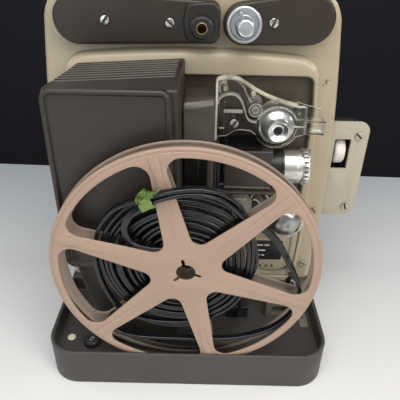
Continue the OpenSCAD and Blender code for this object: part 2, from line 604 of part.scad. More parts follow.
// grooved pulley on a shaft along X, in the plane of the belt
module pulley(y, z, r) difference() {
  xcyl(y, z, 17.6, 23.2, r);
  difference() { xcyl(y, z, 19.2, 21.6, r + 2); xcyl(y, z, 19, 22, r - 1.6); }
}
module motor_shaft() color([0.7, 0.7, 0.71]) {
  xcyl(motor_y, motor_z, -50, 99.4, 3);
  pulley(motor_y, motor_z, 7.4);
}
module fan_wheel() color([0.5, 0.5, 0.48]) difference() {
  translate([-48, motor_y, motor_z]) rotate([0, 90, 0]) {
    cylinder(r = 24, h = 1.4);
    cylinder(r = 6, h = 12);
    for (i = [0 : 23]) rotate(i * 15) translate([18, -0.5, 0]) cube([5.6, 1, 34]);
    translate([0, 0, 32.6]) difference() { cylinder(r = 24, h = 1.4); translate([0, 0, -1]) cylinder(r = 18, h = 4); }
  }
  xcyl(motor_y, motor_z, -52, -10, 3.02);
}
module drive_belt() color([0.05, 0.05, 0.05]) translate([19.6, 0, 0]) rotate([90, 0, 90]) linear_extrude(1.6) difference() {
  hull() { translate([motor_y, motor_z]) circle(r = 7.4, $fn = 32); translate([shaft_y, shaft_z]) circle(r = 10.4, $fn = 32); }
  hull() { translate([motor_y, motor_z]) circle(r = 6.1, $fn = 32); translate([shaft_y, shaft_z]) circle(r = 9.1, $fn = 32); }
}
module shutter() color([0.1, 0.1, 0.1]) translate([5, shaft_y, shaft_z]) rotate([0, 90, 0]) difference() {
  union() {
    translate([0, 0, 2]) intersection() {
      cylinder(r = 42, h = 0.8);
      union() { cylinder(r = 16, h = 2); for (a = [0 : 120 : 240]) rotate(a) linear_extrude(2) polygon([[0, 0], [60, 0], [60, 70], [0, 50]]); }
    }
    cylinder(r = 7, h = 8);
  }
  translate([0, 0, -1]) cylinder(r = 3.02, h = 12);
}
module shutter_shaft() color([0.7, 0.7, 0.71]) {
  xcyl(shaft_y, shaft_z, 3, 90.4, 3);
  // worm for both sprocket gears
  difference() {
    xcyl(shaft_y, shaft_z, 46, 82, 6);
    for (x = [48 : 3 : 80]) translate([x, shaft_y, shaft_z]) rotate([0, 90, 0]) rotate_extrude() translate([6.2, 0]) circle(0.9, $fn = 16);
  }
  pulley(shaft_y, shaft_z, 10.4);
}
module power_inlet() color([0.42, 0.40, 0.36]) difference() {
  union() {
    translate([66, -30, tray_floor]) cube([20, 29, 13]);
    translate([64, -30, tray_floor]) cube([24, 2, 15.4]);
  }
  translate([69.5, -34, tray_floor + 3.5]) cube([13, 16, 8]);          // socket mouth
}

// ---------- reel and cord set ----------
module reel_plate(yb, t) {
  face(yb) linear_extrude(t) translate([reel_x, reel_z]) difference() {
    circle(reel_dia / 2, $fn = 128);
    for (i = [0 : reel_spokes - 1]) rotate(360 / reel_spokes * i + 12.4) reel_window();
  }
}
module reel_rim(y0, y1) {
  translate([reel_x, 0, reel_z]) rotate([90, 0, 0]) rotate_extrude($fn = 128)
    translate([reel_dia / 2 - 3, -y1]) square([3, y1 - y0]);
}
module hub_cut() {
  ycyl(reel_x, reel_z, -100, -50, reel_bore / 2);
  for (a = [102.4, 222.4, 342.4]) translate([reel_x, -75, reel_z]) rotate([0, -a, 0]) translate([6.5, 0, 0]) cube([7, 40, 2], center = true);
}
module reel_front_half() color(tan_) difference() {
  union() {
    reel_plate(reel_y + 1.3, 1.3);
    reel_rim(reel_y, reel_y + 2.4);
    ycyl(reel_x, reel_z, reel_y, reel_y + 6.6, 15.5);
  }
  hub_cut();
}
module reel_rear_half() color(tan_) difference() {
  union() {
    reel_plate(reel_y + reel_w, 1.3);
    reel_rim(reel_y + reel_w - 2.4, reel_y + reel_w);
    ycyl(reel_x, reel_z, reel_y + 6.6, reel_y + reel_w, 15.5);
  }
  hub_cut();
}
module cord_coil() color([0.05, 0.05, 0.055]) translate([coil_x, reel_y + 1.8, coil_z]) rotate([-90, 0, 0])
  rotate_extrude() translate([24, 0]) square([32, 9.8]);
// routes of the two free ends, from the back of the coil to the tray floor
lead_p = [[19, -71, 72], [20.5, -66, 67], [21.5, -60, 59], [21.5, -54, 49], [20.5, -48, 39], [19, -42, 31], [18, -37, 26], [18, -32, 24.4]];
lead_c = [[35, -71, 81], [37, -66, 75], [39, -60, 66], [40, -54, 55], [40, -48, 44], [40, -42, 34], [40, -37, 27], [40, -32, 24.4]];
module cord_lead_plug() color([0.05, 0.05, 0.055]) sweep(lead_p, 4.6, 8);
module cord_lead_connector() color([0.05, 0.05, 0.055]) sweep(lead_c, 4.6, 8);
module cord_plug() color([0.05, 0.05, 0.055]) {
  translate([10, -32, tray_floor + 0.3]) cube([16, 18, 11.4]);
  for (x = [12, 22.5]) translate([x, -14.1, tray_floor + 2.8]) cube([1.5, 11, 6.4]);
}
module cord_connector() color([0.05, 0.05, 0.055]) difference() {
  translate([31, -32, tray_floor + 0.3]) cube([18, 24, 11.4]);
  for (x = [35, 43.4]) translate([x, -16, tray_floor + 4]) cube([1.6, 12, 4]);
}
module twist_tie() color([0.35, 0.55, 0.2])
  translate([coil_x - 24, reel_y - 1, coil_z + 50]) rotate([0, 25, 0]) difference() {
    translate([-4, -1, -7]) cube([8, 12, 12]);
    translate([-5, 1, -5]) cube([10, 8, 8]);
  }

base_tray();
base_feet();
tray_bumper();
tray_rivet();
tray_catch();
front_casting();
rear_cover();
mechanism_plate();
casing_screws();
lamp_house_body();
lamp_house_cover();
lamp_house_duct();
lamp();
lamp_socket();
gate_housing();
film_gate();
pressure_plate();
lens_carrier();
lens_collar();
lens_barrel();
lens_ring();
lens_front_glass();
upper_sprocket();
upper_gear();
upper_film_guide();
guide_roller();
exit_roller();
guide_screws();
lower_sprocket();
lower_gear();
lower_film_guide();
control_plate();
control_lever();
lever_knob();
side_box_body();
side_box_plate();
thumbwheel();
rear_arm();
rear_arm_screws();
rear_spindle_boss();
rear_spindle_bush();
front_arm();
front_arm_screw();
front_spindle();
arm_pivots();
motor();
motor_shaft();
fan_wheel();
drive_belt();
shutter();
shutter_shaft();
power_inlet();
reel_front_half();
reel_rear_half();
cord_coil();
cord_lead_plug();
cord_lead_connector();
cord_plug();
cord_connector();
twist_tie();
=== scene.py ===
import bpy, bmesh, math
from math import sin, cos, pi, radians, sqrt, atan2, hypot
from mathutils import Vector, Matrix
from mathutils import noise as mn


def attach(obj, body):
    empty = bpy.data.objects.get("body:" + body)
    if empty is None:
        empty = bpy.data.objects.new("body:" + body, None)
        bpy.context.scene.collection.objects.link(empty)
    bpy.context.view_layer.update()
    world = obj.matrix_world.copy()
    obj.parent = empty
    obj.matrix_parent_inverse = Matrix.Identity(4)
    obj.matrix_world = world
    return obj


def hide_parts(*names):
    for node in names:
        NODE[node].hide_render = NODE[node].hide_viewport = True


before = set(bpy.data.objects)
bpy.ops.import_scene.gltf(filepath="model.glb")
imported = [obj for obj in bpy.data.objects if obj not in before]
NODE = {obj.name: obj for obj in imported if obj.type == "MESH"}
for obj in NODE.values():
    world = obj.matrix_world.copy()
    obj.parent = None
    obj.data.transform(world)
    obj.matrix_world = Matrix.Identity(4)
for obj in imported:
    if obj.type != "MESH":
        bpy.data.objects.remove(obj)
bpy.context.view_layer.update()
scene = bpy.context.scene
scene.view_settings.view_transform = "Standard"
MM = 0.001

# ------------------------------------------------------------------ camera
def make_camera():
    pitch, yaw, roll = radians(30.8), radians(-0.22), radians(1.07)
    w = Vector((sin(yaw) * cos(pitch), cos(yaw) * cos(pitch), -sin(pitch)))
    r = Vector((cos(yaw), -sin(yaw), 0))
    u = r.cross(w)
    r2 = cos(roll) * r + sin(roll) * u
    u2 = -sin(roll) * r + cos(roll) * u
    cd = bpy.data.cameras.new("camera")
    cd.lens, cd.sensor_width, cd.sensor_fit = 40.905, 36.0, "HORIZONTAL"
    cd.clip_start, cd.clip_end = 0.01, 50
    ob = bpy.data.objects.new("camera", cd)
    scene.collection.objects.link(ob)
    m = Matrix((r2, u2, -w)).transposed().to_4x4()
    m.translation = Vector((8.32, -312.4, 300.8)) * MM
    ob.matrix_world = m
    scene.camera = ob
make_camera()

# ------------------------------------------------------------------ mesh helpers (millimetres)
def finish_mesh(me, angle=35):
    bm = bmesh.new()
    bm.from_mesh(me)
    bmesh.ops.remove_doubles(bm, verts=bm.verts, dist=2e-6)
    bmesh.ops.dissolve_degenerate(bm, dist=1e-6, edges=bm.edges)
    bmesh.ops.recalc_face_normals(bm, faces=bm.faces)
    bm.to_mesh(me)
    bm.free()
    me.polygons.foreach_set("use_smooth", [True] * len(me.polygons))
    me.set_sharp_from_angle(angle=radians(angle))
    me.update()

def mesh_obj(name, parts, mats, angle=35):
    """One object from (verts, faces) parts; mats is one material, or one per part."""
    V, F, MI = [], [], []
    mats = mats if isinstance(mats, (list, tuple)) else [mats]
    used = []
    for i, (v, f) in enumerate(parts):
        m = mats[min(i, len(mats) - 1)]
        if m not in used:
            used.append(m)
        b = len(V)
        V += [(p[0] * MM, p[1] * MM, p[2] * MM) for p in v]
        F += [tuple(b + k for k in q) for q in f]
        MI += [used.index(m)] * len(f)
    me = bpy.data.meshes.new(name)
    me.from_pydata(V, [], F)
    for m in used:
        me.materials.append(m)
    me.polygons.foreach_set("material_index", MI)
    finish_mesh(me, angle)
    ob = bpy.data.objects.new(name, me)
    scene.collection.objects.link(ob)
    return ob

def loft(rings, loop=False, caps=(True, True)):
    n, m = len(rings[0]), len(rings)
    V = [p for r in rings for p in r]
    F = []
    for i in range(m if loop else m - 1):
        a, b = i * n, ((i + 1) % m) * n
        for k in range(n):
            F.append((a + k, a + (k + 1) % n, b + (k + 1) % n, b + k))
    if not loop:
        if caps[0]:
            F.append(tuple(range(n - 1, -1, -1)))
        if caps[1]:
            F.append(tuple((m - 1) * n + k for k in range(n)))
    return V, F

def offset(poly, d):
    """A closed outline moved inwards by d (outline is counter-clockwise)."""
    out, n = [], len(poly)
    for i in range(n):
        p0, p1, p2 = poly[i - 1], poly[i], poly[(i + 1) % n]
        a = (p1[0] - p0[0], p1[1] - p0[1]); la = hypot(*a) or 1e-9
        b = (p2[0] - p1[0], p2[1] - p1[1]); lb = hypot(*b) or 1e-9
        n1 = (-a[1] / la, a[0] / la); n2 = (-b[1] / lb, b[0] / lb)
        k = d / max(0.25, 1 + n1[0] * n2[0] + n1[1] * n2[1])
        out.append((p1[0] + (n1[0] + n2[0]) * k, p1[1] + (n1[1] + n2[1]) * k))
    return out

def arc(cx, cy, r, a0, a1, n):
    return [(cx + r * cos(radians(a0 + (a1 - a0) * i / n)), cy + r * sin(radians(a0 + (a1 - a0) * i / n))) for i in range(n + 1)]

def rrect(x0, z0, x1, z1, r, n=6):
    r4 = r if isinstance(r, (list, tuple)) else (r,) * 4
    P = arc(x1 - r4[0], z0 + r4[0], r4[0], -90, 0, n) + arc(x1 - r4[1], z1 - r4[1], r4[1], 0, 90, n)
    return P + arc(x0 + r4[2], z1 - r4[2], r4[2], 90, 180, n) + arc(x0 + r4[3], z0 + r4[3], r4[3], 180, 270, n)

def hull2(points):
    pts = sorted(set((round(p[0], 5), round(p[1], 5)) for p in points))
    def half(ps):
        h = []
        for p in ps:
            while len(h) > 1 and (h[-1][0] - h[-2][0]) * (p[1] - h[-2][1]) - (h[-1][1] - h[-2][1]) * (p[0] - h[-2][0]) <= 1e-9:
                h.pop()
            h.append(p)
        return h
    a, b = half(pts), half(pts[::-1])
    return a[:-1] + b[:-1]

def slab(poly, yf, yb, rf=1.0, rb=0.5, seg=4):
    """A plate in X-Z from y = yf (front) to yb with rounded edges."""
    rings = []
    for i in range(seg + 1):
        a = pi / 2 * i / seg
        rings.append([(x, yb - rb * (1 - cos(a)), z) for x, z in offset(poly, rb * (1 - sin(a)))])
    for i in range(seg + 1):
        a = pi / 2 * i / seg
        rings.append([(x, yf + rf * (1 - sin(a)), z) for x, z in offset(poly, rf * (1 - cos(a)))])
    return loft(rings)

def slab_z(poly, z0, z1, r0=0.5, r1=1.0, seg=4):
    """The same in X-Y, from z0 up to z1 with the top edge rounded by r1."""
    rings = []
    for i in range(seg + 1):
        a = pi / 2 * i / seg
        rings.append([(x, y, z0 + r0 * (1 - cos(a))) for x, y in offset(poly, r0 * (1 - sin(a)))])
    for i in range(seg + 1):
        a = pi / 2 * i / seg
        rings.append([(x, y, z1 - r1 * (1 - sin(a))) for x, y in offset(poly, r1 * (1 - cos(a)))])
    return loft(rings)

def slab_x(poly, x0, x1, r=0.5, seg=3):
    """The same in Y-Z, from x0 to x1."""
    rings = []
    for i in range(seg + 1):
        a = pi / 2 * i / seg
        rings.append([(x0 + r * (1 - cos(a)), y, z) for y, z in offset(poly, r * (1 - sin(a)))])
    for i in range(seg + 1):
        a = pi / 2 * i / seg
        rings.append([(x1 - r * (1 - sin(a)), y, z) for y, z in offset(poly, r * (1 - cos(a)))])
    return loft(rings)

def lathe(profile, centre, axis="y", n=64, closed=True):
    """profile: (radius, position along the axis); a closed outline, or an open one that starts and ends on the axis."""
    V, F = [], []
    m = len(profile)
    cx, cy, cz = centre
    for i in range(n):
        a = 2 * pi * i / n
        for r, t in profile:
            if axis == "y":
                V.append((cx + r * cos(a), t, cz + r * sin(a)))
            elif axis == "x":
                V.append((t, cy + r * cos(a), cz + r * sin(a)))
            else:
                V.append((cx + r * cos(a), cy + r * sin(a), t))
    for i in range(n):
        for k in range(m if closed else m - 1):
            a, b = i * m + k, i * m + (k + 1) % m
            c, d = ((i + 1) % n) * m + (k + 1) % m, ((i + 1) % n) * m + k
            F.append((a, b, c, d))
    return V, F

def fillet_profile(pts, radii, n=4):
    """Rounds the corners of a closed outline."""
    out, m = [], len(pts)
    for i in range(m):
        p0, p1, p2 = Vector(pts[i - 1]), Vector(pts[i]), Vector(pts[(i + 1) % m])
        r = radii[i] if isinstance(radii, (list, tuple)) else radii
        d0, d2 = (p0 - p1), (p2 - p1)
        l0, l2 = d0.length, d2.length
        if r <= 0 or l0 < 1e-9 or l2 < 1e-9:
            out.append(tuple(p1)); continue
        d0, d2 = d0 / l0, d2 / l2
        ang = math.acos(max(-1, min(1, d0.dot(d2))))
        if ang > pi - 0.02 or ang < 0.02:
            out.append(tuple(p1)); continue
        t = min(r / math.tan(ang / 2), l0 * 0.49, l2 * 0.49)
        rr = t * math.tan(ang / 2)
        c = p1 + (d0 + d2).normalized() * (rr / sin(ang / 2))
        a, b = p1 + d0 * t, p1 + d2 * t
        va, vb = a - c, b - c
        tot = math.acos(max(-1, min(1, va.dot(vb) / (rr * rr))))
        for k in range(n + 1):
            f = k / n
            v = (va * sin((1 - f) * tot) + vb * sin(f * tot)) / sin(tot) if sin(tot) > 1e-6 else va.lerp(vb, f)
            out.append(tuple(c + v))
    return out

def box_part(x0, y0, z0, x1, y1, z1, r=0.3):
    return slab(rrect(x0, z0, x1, z1, max(r, 0.05), 3), y0, y1, r, r, 3)

def cut(ob, parts, name="cutter"):
    """Boolean difference of one object with disjoint parts, applied."""
    c = mesh_obj(name, parts, ob.data.materials[0])
    md = ob.modifiers.new("cut", "BOOLEAN")
    md.operation, md.solver, md.object = "DIFFERENCE", "EXACT", c
    bpy.context.view_layer.update()
    me = bpy.data.meshes.new_from_object(ob.evaluated_get(bpy.context.evaluated_depsgraph_get()))
    old = ob.data
    ob.modifiers.clear()
    ob.data = me
    bpy.data.objects.remove(c)
    bpy.data.meshes.remove(old)
    finish_mesh(me)
    return ob

def plate2d(splines, depth, bevel, res=2):
    """Flat plate from closed outlines (outer first, then holes), in local X-Y, mid plane at 0; returns verts, faces in mm."""
    cu = bpy.data.curves.new("tmp_curve", "CURVE")
    cu.dimensions, cu.fill_mode = "2D", "BOTH"
    cu.extrude, cu.bevel_depth, cu.bevel_resolution, cu.offset = depth / 2 - bevel, bevel, res, -bevel
    for pts in splines:
        sp = cu.splines.new("POLY")
        sp.points.add(len(pts) - 1)
        for p, q in zip(sp.points, pts):
            p.co = (q[0], q[1], 0, 1)
        sp.use_cyclic_u = True
    ob = bpy.data.objects.new("tmp_curve", cu)
    scene.collection.objects.link(ob)
    bpy.context.view_layer.update()
    me = bpy.data.meshes.new_from_object(ob.evaluated_get(bpy.context.evaluated_depsgraph_get()))
    V = [tuple(v.co) for v in me.vertices]
    F = [tuple(p.vertices) for p in me.polygons]
    bpy.data.objects.remove(ob)
    bpy.data.curves.remove(cu)
    bpy.data.meshes.remove(me)
    return V, F

def to_xz(part, y, z0=0.0, x0=0.0):
    return [(x + x0, y - t, z + z0) for x, z, t in part[0]], part[1]

def put(ob, body, slot, *nodes):
    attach(ob, body)
    if nodes:
        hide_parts(*nodes)
    return ob

# ------------------------------------------------------------------ materials
class Tree:
    def __init__(self, name):
        self.mat = bpy.data.materials.new(name)
        self.mat.use_nodes = True
        self.nt = self.mat.node_tree
        self.nt.nodes.clear()
        self.out = self.n("ShaderNodeOutputMaterial")
        self.b = self.n("ShaderNodeBsdfPrincipled")
        self.l(self.b.outputs[0], self.out.inputs[0])
        self.co = self.n("ShaderNodeTexCoord").outputs["Object"]
    def n(self, kind, **kw):
        nd = self.nt.nodes.new(kind)
        for k, v in kw.items():
            setattr(nd, k, v)
        return nd
    def l(self, a, b):
        self.nt.links.new(a, b)
    def set(self, sock, v):
        self.b.inputs[sock].default_value = v
    def noise(self, scale, detail=3, rough=0.5, stretch=None, off=(0, 0, 0)):
        co = self.co
        if stretch or any(off):
            mp = self.n("ShaderNodeMapping")
            mp.inputs["Scale"].default_value = stretch or (1, 1, 1)
            mp.inputs["Location"].default_value = off
            self.l(co, mp.inputs[0]); co = mp.outputs[0]
        t = self.n("ShaderNodeTexNoise")
        t.inputs["Scale"].default_value = scale
        t.inputs["Detail"].default_value = detail
        t.inputs["Roughness"].default_value = rough
        self.l(co, t.inputs["Vector"])
        return t.outputs[0]
    def voronoi(self, scale, feature="F1"):
        t = self.n("ShaderNodeTexVoronoi", feature=feature)
        t.inputs["Scale"].default_value = scale
        self.l(self.co, t.inputs["Vector"])
        return t.outputs[0]
    def ramp(self, fac, lo, hi, a=0.0, b=1.0):
        t = self.n("ShaderNodeMapRange")
        t.inputs[1].default_value, t.inputs[2].default_value = lo, hi
        t.inputs[3].default_value, t.inputs[4].default_value = a, b
        self.l(fac, t.inputs[0])
        return t.outputs[0]
    def math(self, op, a, b=None):
        t = self.n("ShaderNodeMath", operation=op)
        for i, v in enumerate((a, b)):
            if v is None:
                continue
            if isinstance(v, (int, float)):
                t.inputs[i].default_value = v
            else:
                self.l(v, t.inputs[i])
        return t.outputs[0]
    def mix(self, fac, a, b):
        t = self.n("ShaderNodeMix", data_type="RGBA")
        for sock, v in ((t.inputs[0], fac), (t.inputs[6], a), (t.inputs[7], b)):
            if isinstance(v, (int, float)):
                sock.default_value = v
            elif isinstance(v, (tuple, list)):
                sock.default_value = (*v[:3], 1)
            else:
                self.l(v, sock)
        return t.outputs[2]
    def bump(self, *layers):
        nrm = None
        for h, strength, dist in layers:
            t = self.n("ShaderNodeBump")
            t.inputs["Strength"].default_value = strength
            t.inputs["Distance"].default_value = dist
            self.l(h, t.inputs["Height"])
            if nrm is not None:
                self.l(nrm, t.inputs["Normal"])
            nrm = t.outputs[0]
        self.l(nrm, self.b.inputs["Normal"])
    def edge(self, radius):
        """1 on sharp convex or concave edges, 0 on flats."""
        bv = self.n("ShaderNodeBevel", samples=4)
        bv.inputs[0].default_value = radius
        g = self.n("ShaderNodeNewGeometry")
        d = self.n("ShaderNodeVectorMath", operation="DOT_PRODUCT")
        self.l(bv.outputs[0], d.inputs[0]); self.l(g.outputs["Normal"], d.inputs[1])
        return self.ramp(d.outputs["Value"], 0.985, 0.80)

def mul(c, k):
    return tuple(min(1, x * k) for x in c)

def paint(name, col, rough=0.42, grain=1400, gdepth=0.00006, gstr=0.35, var=0.07, chip=None, chip_amt=0.5, dust=0.0, coat=0.0, spec=0.5, edge_r=0.0009, mottled=40, painted_shade_zone=None):
    t = Tree(name)
    big = t.noise(9, 4, 0.6)
    mid = t.noise(mottled, 5, 0.65, off=(3.1, 1.7, 0.4))
    c = t.mix(t.ramp(big, 0.3, 0.7), mul(col, 1 - var), mul(col, 1 + var))
    c = t.mix(t.ramp(mid, 0.35, 0.75, 0, 0.5), c, mul(col, 1 - 1.6 * var))
    rg = t.ramp(mid, 0.25, 0.75, rough * 0.86, min(1, rough * 1.18))
    if dust:
        sp = t.ramp(t.noise(620, 2, 0.5, off=(9, 2, 5)), 0.70, 0.76, 0, dust)
        c = t.mix(sp, c, mul(col, 2.2) if max(col) < 0.3 else mul(col, 0.6))
    if chip:
        e = t.edge(edge_r)
        brk = t.ramp(t.noise(260, 5, 0.7, off=(1, 8, 3)), 0.50, 0.62)
        worn = t.math("MULTIPLY", t.math("MULTIPLY", e, brk), chip_amt)
        c = t.mix(worn, c, chip)
    if painted_shade_zone:                                              # painted shade: colour darkened to near black inside x and z limits in mm
        sx = t.n("ShaderNodeSeparateXYZ")
        t.l(t.co, sx.inputs[0])
        m = 1.0
        for k, lo, hi in ((0, painted_shade_zone[0], painted_shade_zone[1]), (2, painted_shade_zone[2], painted_shade_zone[3])):
            m = t.math("MULTIPLY", t.math("MULTIPLY", t.ramp(sx.outputs[k], (lo - 0.4) * MM, (lo + 0.4) * MM), t.ramp(sx.outputs[k], (hi + 0.4) * MM, (hi - 0.4) * MM)), m)
        c = t.mix(m, c, (0.003, 0.003, 0.003))
    t.l(c, t.b.inputs["Base Color"])
    t.l(rg, t.b.inputs["Roughness"])
    t.set("Specular IOR Level", spec)
    if coat:
        t.set("Coat Weight", coat); t.set("Coat Roughness", 0.18)
    t.bump((t.noise(grain, 2, 0.5), gstr, gdepth), (t.noise(150, 3, 0.5, off=(4, 4, 1)), 0.12, 0.0002))
    return t.mat

def plastic(name, col, rough=0.35, var=0.06, grain=900, gstr=0.2, scratch=0.25, dark=None, coat=0.0, low=None):
    t = Tree(name)
    big = t.noise(14, 4, 0.6)
    fine = t.noise(170, 4, 0.7, off=(2, 5, 1))
    c = t.mix(t.ramp(big, 0.3, 0.7), mul(col, 1 - var), mul(col, 1 + var))
    c = t.mix(t.ramp(fine, 0.55, 0.8, 0, 0.35), c, dark or mul(col, 0.72))
    if low:                                               # painted shade, darker towards the bottom: two heights in mm and a colour
        sx = t.n("ShaderNodeSeparateXYZ")
        t.l(t.co, sx.inputs[0])
        c = t.mix(t.ramp(sx.outputs[2], low[1] * MM, low[0] * MM), c, low[2])
    t.l(c, t.b.inputs["Base Color"])
    scr = t.noise(60, 6, 0.75, stretch=(1, 9, 14), off=(7, 3, 2))
    t.l(t.ramp(scr, 0.3, 0.75, rough * (1 - scratch), min(1, rough * (1 + scratch))), t.b.inputs["Roughness"])
    if coat:
        t.set("Coat Weight", coat); t.set("Coat Roughness", 0.1)
    t.bump((t.noise(grain, 2, 0.5), gstr, 0.00004), (scr, 0.06, 0.0001))
    return t.mat

def metal(name, col, rough=0.22, stretch=(1, 40, 40), scale=90, aniso=0.0, tarnish=0.2, bstr=0.12, spread=0.35):
    t = Tree(name)
    t.set("Metallic", 1.0)
    br = t.noise(scale, 5, 0.7, stretch=stretch)
    blot = t.noise(120, 4, 0.6, off=(5, 1, 9))
    c = t.mix(t.ramp(blot, 0.45, 0.8, 0, tarnish), col, mul(col, 0.55))
    t.l(c, t.b.inputs["Base Color"])
    t.l(t.ramp(br, 0.25, 0.75, rough * (1 - spread * 0.86), min(1, rough * (1 + spread * 1.14))), t.b.inputs["Roughness"])
    if aniso:
        t.set("Anisotropic", aniso)
    t.bump((br, bstr, 0.00003))
    return t.mat

def glassy(name, col, rough=0.04, ior=1.49, haze=0.12, trans=1.0, blot=None):
    t = Tree(name)
    t.set("Transmission Weight", trans)
    t.set("IOR", ior)
    sm = t.noise(70, 5, 0.65)
    c = t.mix(t.ramp(sm, 0.35, 0.75), col, mul(col, 0.93))
    if blot:
        c = t.mix(t.ramp(t.noise(95, 3, 0.6, off=(4, 7, 2)), 0.46, 0.58, 0, 0.9), c, blot)
        c = t.mix(t.ramp(t.noise(900, 2, 0.5, off=(1, 3, 6)), 0.45, 0.62, 0, 0.35), c, blot)
    t.l(c, t.b.inputs["Base Color"])
    t.l(t.ramp(t.noise(45, 6, 0.7, off=(2, 2, 2)), 0.35, 0.8, rough, rough + haze), t.b.inputs["Roughness"])
    t.bump((t.noise(240, 3, 0.5), 0.05, 0.0001))
    return t.mat

BEIGE = (0.385, 0.326, 0.228)
UMBER = (0.043, 0.035, 0.0285)
M = {}
M["casing"] = paint("casing_enamel", BEIGE, 0.36, grain=1300, gstr=0.22, var=0.035, chip=(0.30, 0.25, 0.19), chip_amt=0.35, dust=0.10, coat=0.18)
M["dark"] = paint("umber_enamel", (0.0255, 0.0196, 0.0150), 0.46, grain=1500, gstr=0.45, var=0.08, chip=(0.20, 0.185, 0.165), chip_amt=0.55, dust=0.10)
M["base"] = paint("base_enamel", (0.050, 0.0455, 0.041), 0.48, grain=1100, gstr=0.6, gdepth=0.00009, var=0.10, chip=(0.30, 0.29, 0.27), chip_amt=0.75, dust=0.14, edge_r=0.0012)
M["arm"] = paint("arm_enamel", (0.0215, 0.0140, 0.0085), 0.44, grain=1500, gstr=0.4, var=0.07, chip=(0.16, 0.15, 0.13), chip_amt=0.4, dust=0.08)
M["arm_end"] = paint("arm_end_enamel", (0.0125, 0.0100, 0.0078), 0.40, grain=1500, gstr=0.35, var=0.07, chip=(0.12, 0.11, 0.10), chip_amt=0.4)
M["duct"] = paint("duct_enamel", mul(UMBER, 0.72), 0.5, grain=1200, gstr=0.5, var=0.08, chip=(0.14, 0.13, 0.12), chip_amt=0.4)
M["black"] = plastic("black_moulding", (0.012, 0.012, 0.013), 0.34, var=0.1, dark=(0.02, 0.02, 0.022))
M["gloss"] = plastic("polished_black", (0.008, 0.008, 0.009), 0.10, var=0.05, gstr=0.03, scratch=0.5, dark=(0.012, 0.012, 0.013), coat=0.5)
M["rubber"] = plastic("rubber", (0.016, 0.016, 0.017), 0.55, var=0.12, grain=1600, gstr=0.4, dark=(0.03, 0.03, 0.03))
M["vinyl"] = plastic("cord_vinyl", (0.007, 0.0075, 0.009), 0.24, var=0.15, grain=700, gstr=0.10, scratch=0.35, dark=(0.018, 0.019, 0.022))
M["chrome"] = metal("chrome_plate", (0.86, 0.86, 0.87), 0.10, stretch=(1, 1, 1), scale=200, tarnish=0.12, bstr=0.03)
M["steel"] = metal("zinc_steel", (0.60, 0.60, 0.59), 0.30, stretch=(30, 1, 30), scale=60, tarnish=0.3)
M["satin"] = metal("satin_aluminium", (0.88, 0.87, 0.83), 0.30, stretch=(1, 1, 1), scale=60, tarnish=0.03, bstr=0.0, spread=0.06)
M["dome"] = metal("satin_chrome", (0.80, 0.805, 0.81), 0.30, stretch=(1, 1, 1), scale=60, tarnish=0.05, bstr=0.0, spread=0.08)
M["spindle"] = metal("satin_nickel", (0.50, 0.525, 0.55), 0.40, stretch=(1, 1, 1), scale=60, tarnish=0.12, bstr=0.01, spread=0.12)
M["screw"] = metal("bright_zinc", (0.66, 0.655, 0.64), 0.24, stretch=(30, 1, 30), scale=60, tarnish=0.3, bstr=0.05)
M["brass"] = metal("turned_brass", (0.44, 0.315, 0.16), 0.34, stretch=(1, 50, 1), scale=50, tarnish=0.35)
M["clear"] = glassy("clear_acrylic", (0.97, 0.97, 0.96), 0.02, 1.22, 0.06)
M["edge"] = glassy("acrylic_edge", (0.90, 0.90, 0.84), 0.22, 1.45, 0.25, 0.45)
M["frost"] = glassy("frosted_flange", (0.80, 0.77, 0.60), 0.34, 1.45, 0.25, 0.42, blot=(0.38, 0.35, 0.28))
M["lens"] = glassy("coated_glass", (0.72, 0.78, 0.92), 0.01, 1.6, 0.03)
M["bulb"] = glassy("lamp_glass", (0.93, 0.94, 0.95), 0.02, 1.5, 0.05)
M["ceramic"] = plastic("steatite", (0.70, 0.67, 0.60), 0.5, var=0.05)
M["ivory"] = plastic("ivory_plastic", (0.72, 0.70, 0.64), 0.28, var=0.05, dark=(0.55, 0.52, 0.45))
M["reel"] = plastic("reel_plastic", (0.365, 0.252, 0.190), 0.40, var=0.05, grain=1100, gstr=0.22, dark=(0.31, 0.210, 0.156))
# painted shade: the rear flange is a darker copy of the reel plastic, darkened further towards the bottom
M["reel_back"] = plastic("reel_plastic_rear_painted_shade", (0.265, 0.205, 0.160), 0.40, var=0.08, grain=1100, gstr=0.22, dark=(0.20, 0.155, 0.120), low=(25, 42, (0.035, 0.029, 0.024)))
# works, gate and shelf carry painted shade: a near-black zone where shadow falls on the lower mechanism plate, the
# lower gate housing and the lens carrier's top
M["works"] = paint("works_enamel_painted_shade", (0.064, 0.049, 0.033), 0.40, grain=1400, gstr=0.4, var=0.08, chip=(0.22, 0.20, 0.18), chip_amt=0.5, dust=0.08, painted_shade_zone=(-30, 30, 10, 62))
M["gate"] = paint("gate_enamel_painted_shade", (0.056, 0.046, 0.037), 0.27, grain=1400, gstr=0.3, var=0.08, chip=(0.22, 0.20, 0.18), chip_amt=0.4, dust=0.06, painted_shade_zone=(-8, 12, 90, 168))
M["shelf"] = paint("shelf_enamel_painted_shade", mul(UMBER, 1.0), 0.40, grain=1400, gstr=0.4, var=0.08, chip=(0.30, 0.28, 0.25), chip_amt=0.6, dust=0.08, painted_shade_zone=(26, 49.5, 170.2, 176))
M["side"] = paint("side_enamel", (0.435, 0.39, 0.31), 0.36, grain=1300, gstr=0.30, var=0.035, chip=(0.28, 0.24, 0.19), chip_amt=0.35, dust=0.08)
M["aged"] = metal("aged_zinc", (0.60, 0.565, 0.48), 0.46, stretch=(30, 1, 30), scale=60, tarnish=0.4, bstr=0.04)
M["fibre"] = plastic("fibre", (0.42, 0.29, 0.13), 0.55, var=0.12)
M["cream"] = plastic("cream_plug", (0.76, 0.74, 0.58), 0.35, var=0.06)
M["plate"] = paint("plate_enamel", (0.43, 0.38, 0.275), 0.34, grain=1300, gstr=0.25, var=0.04)
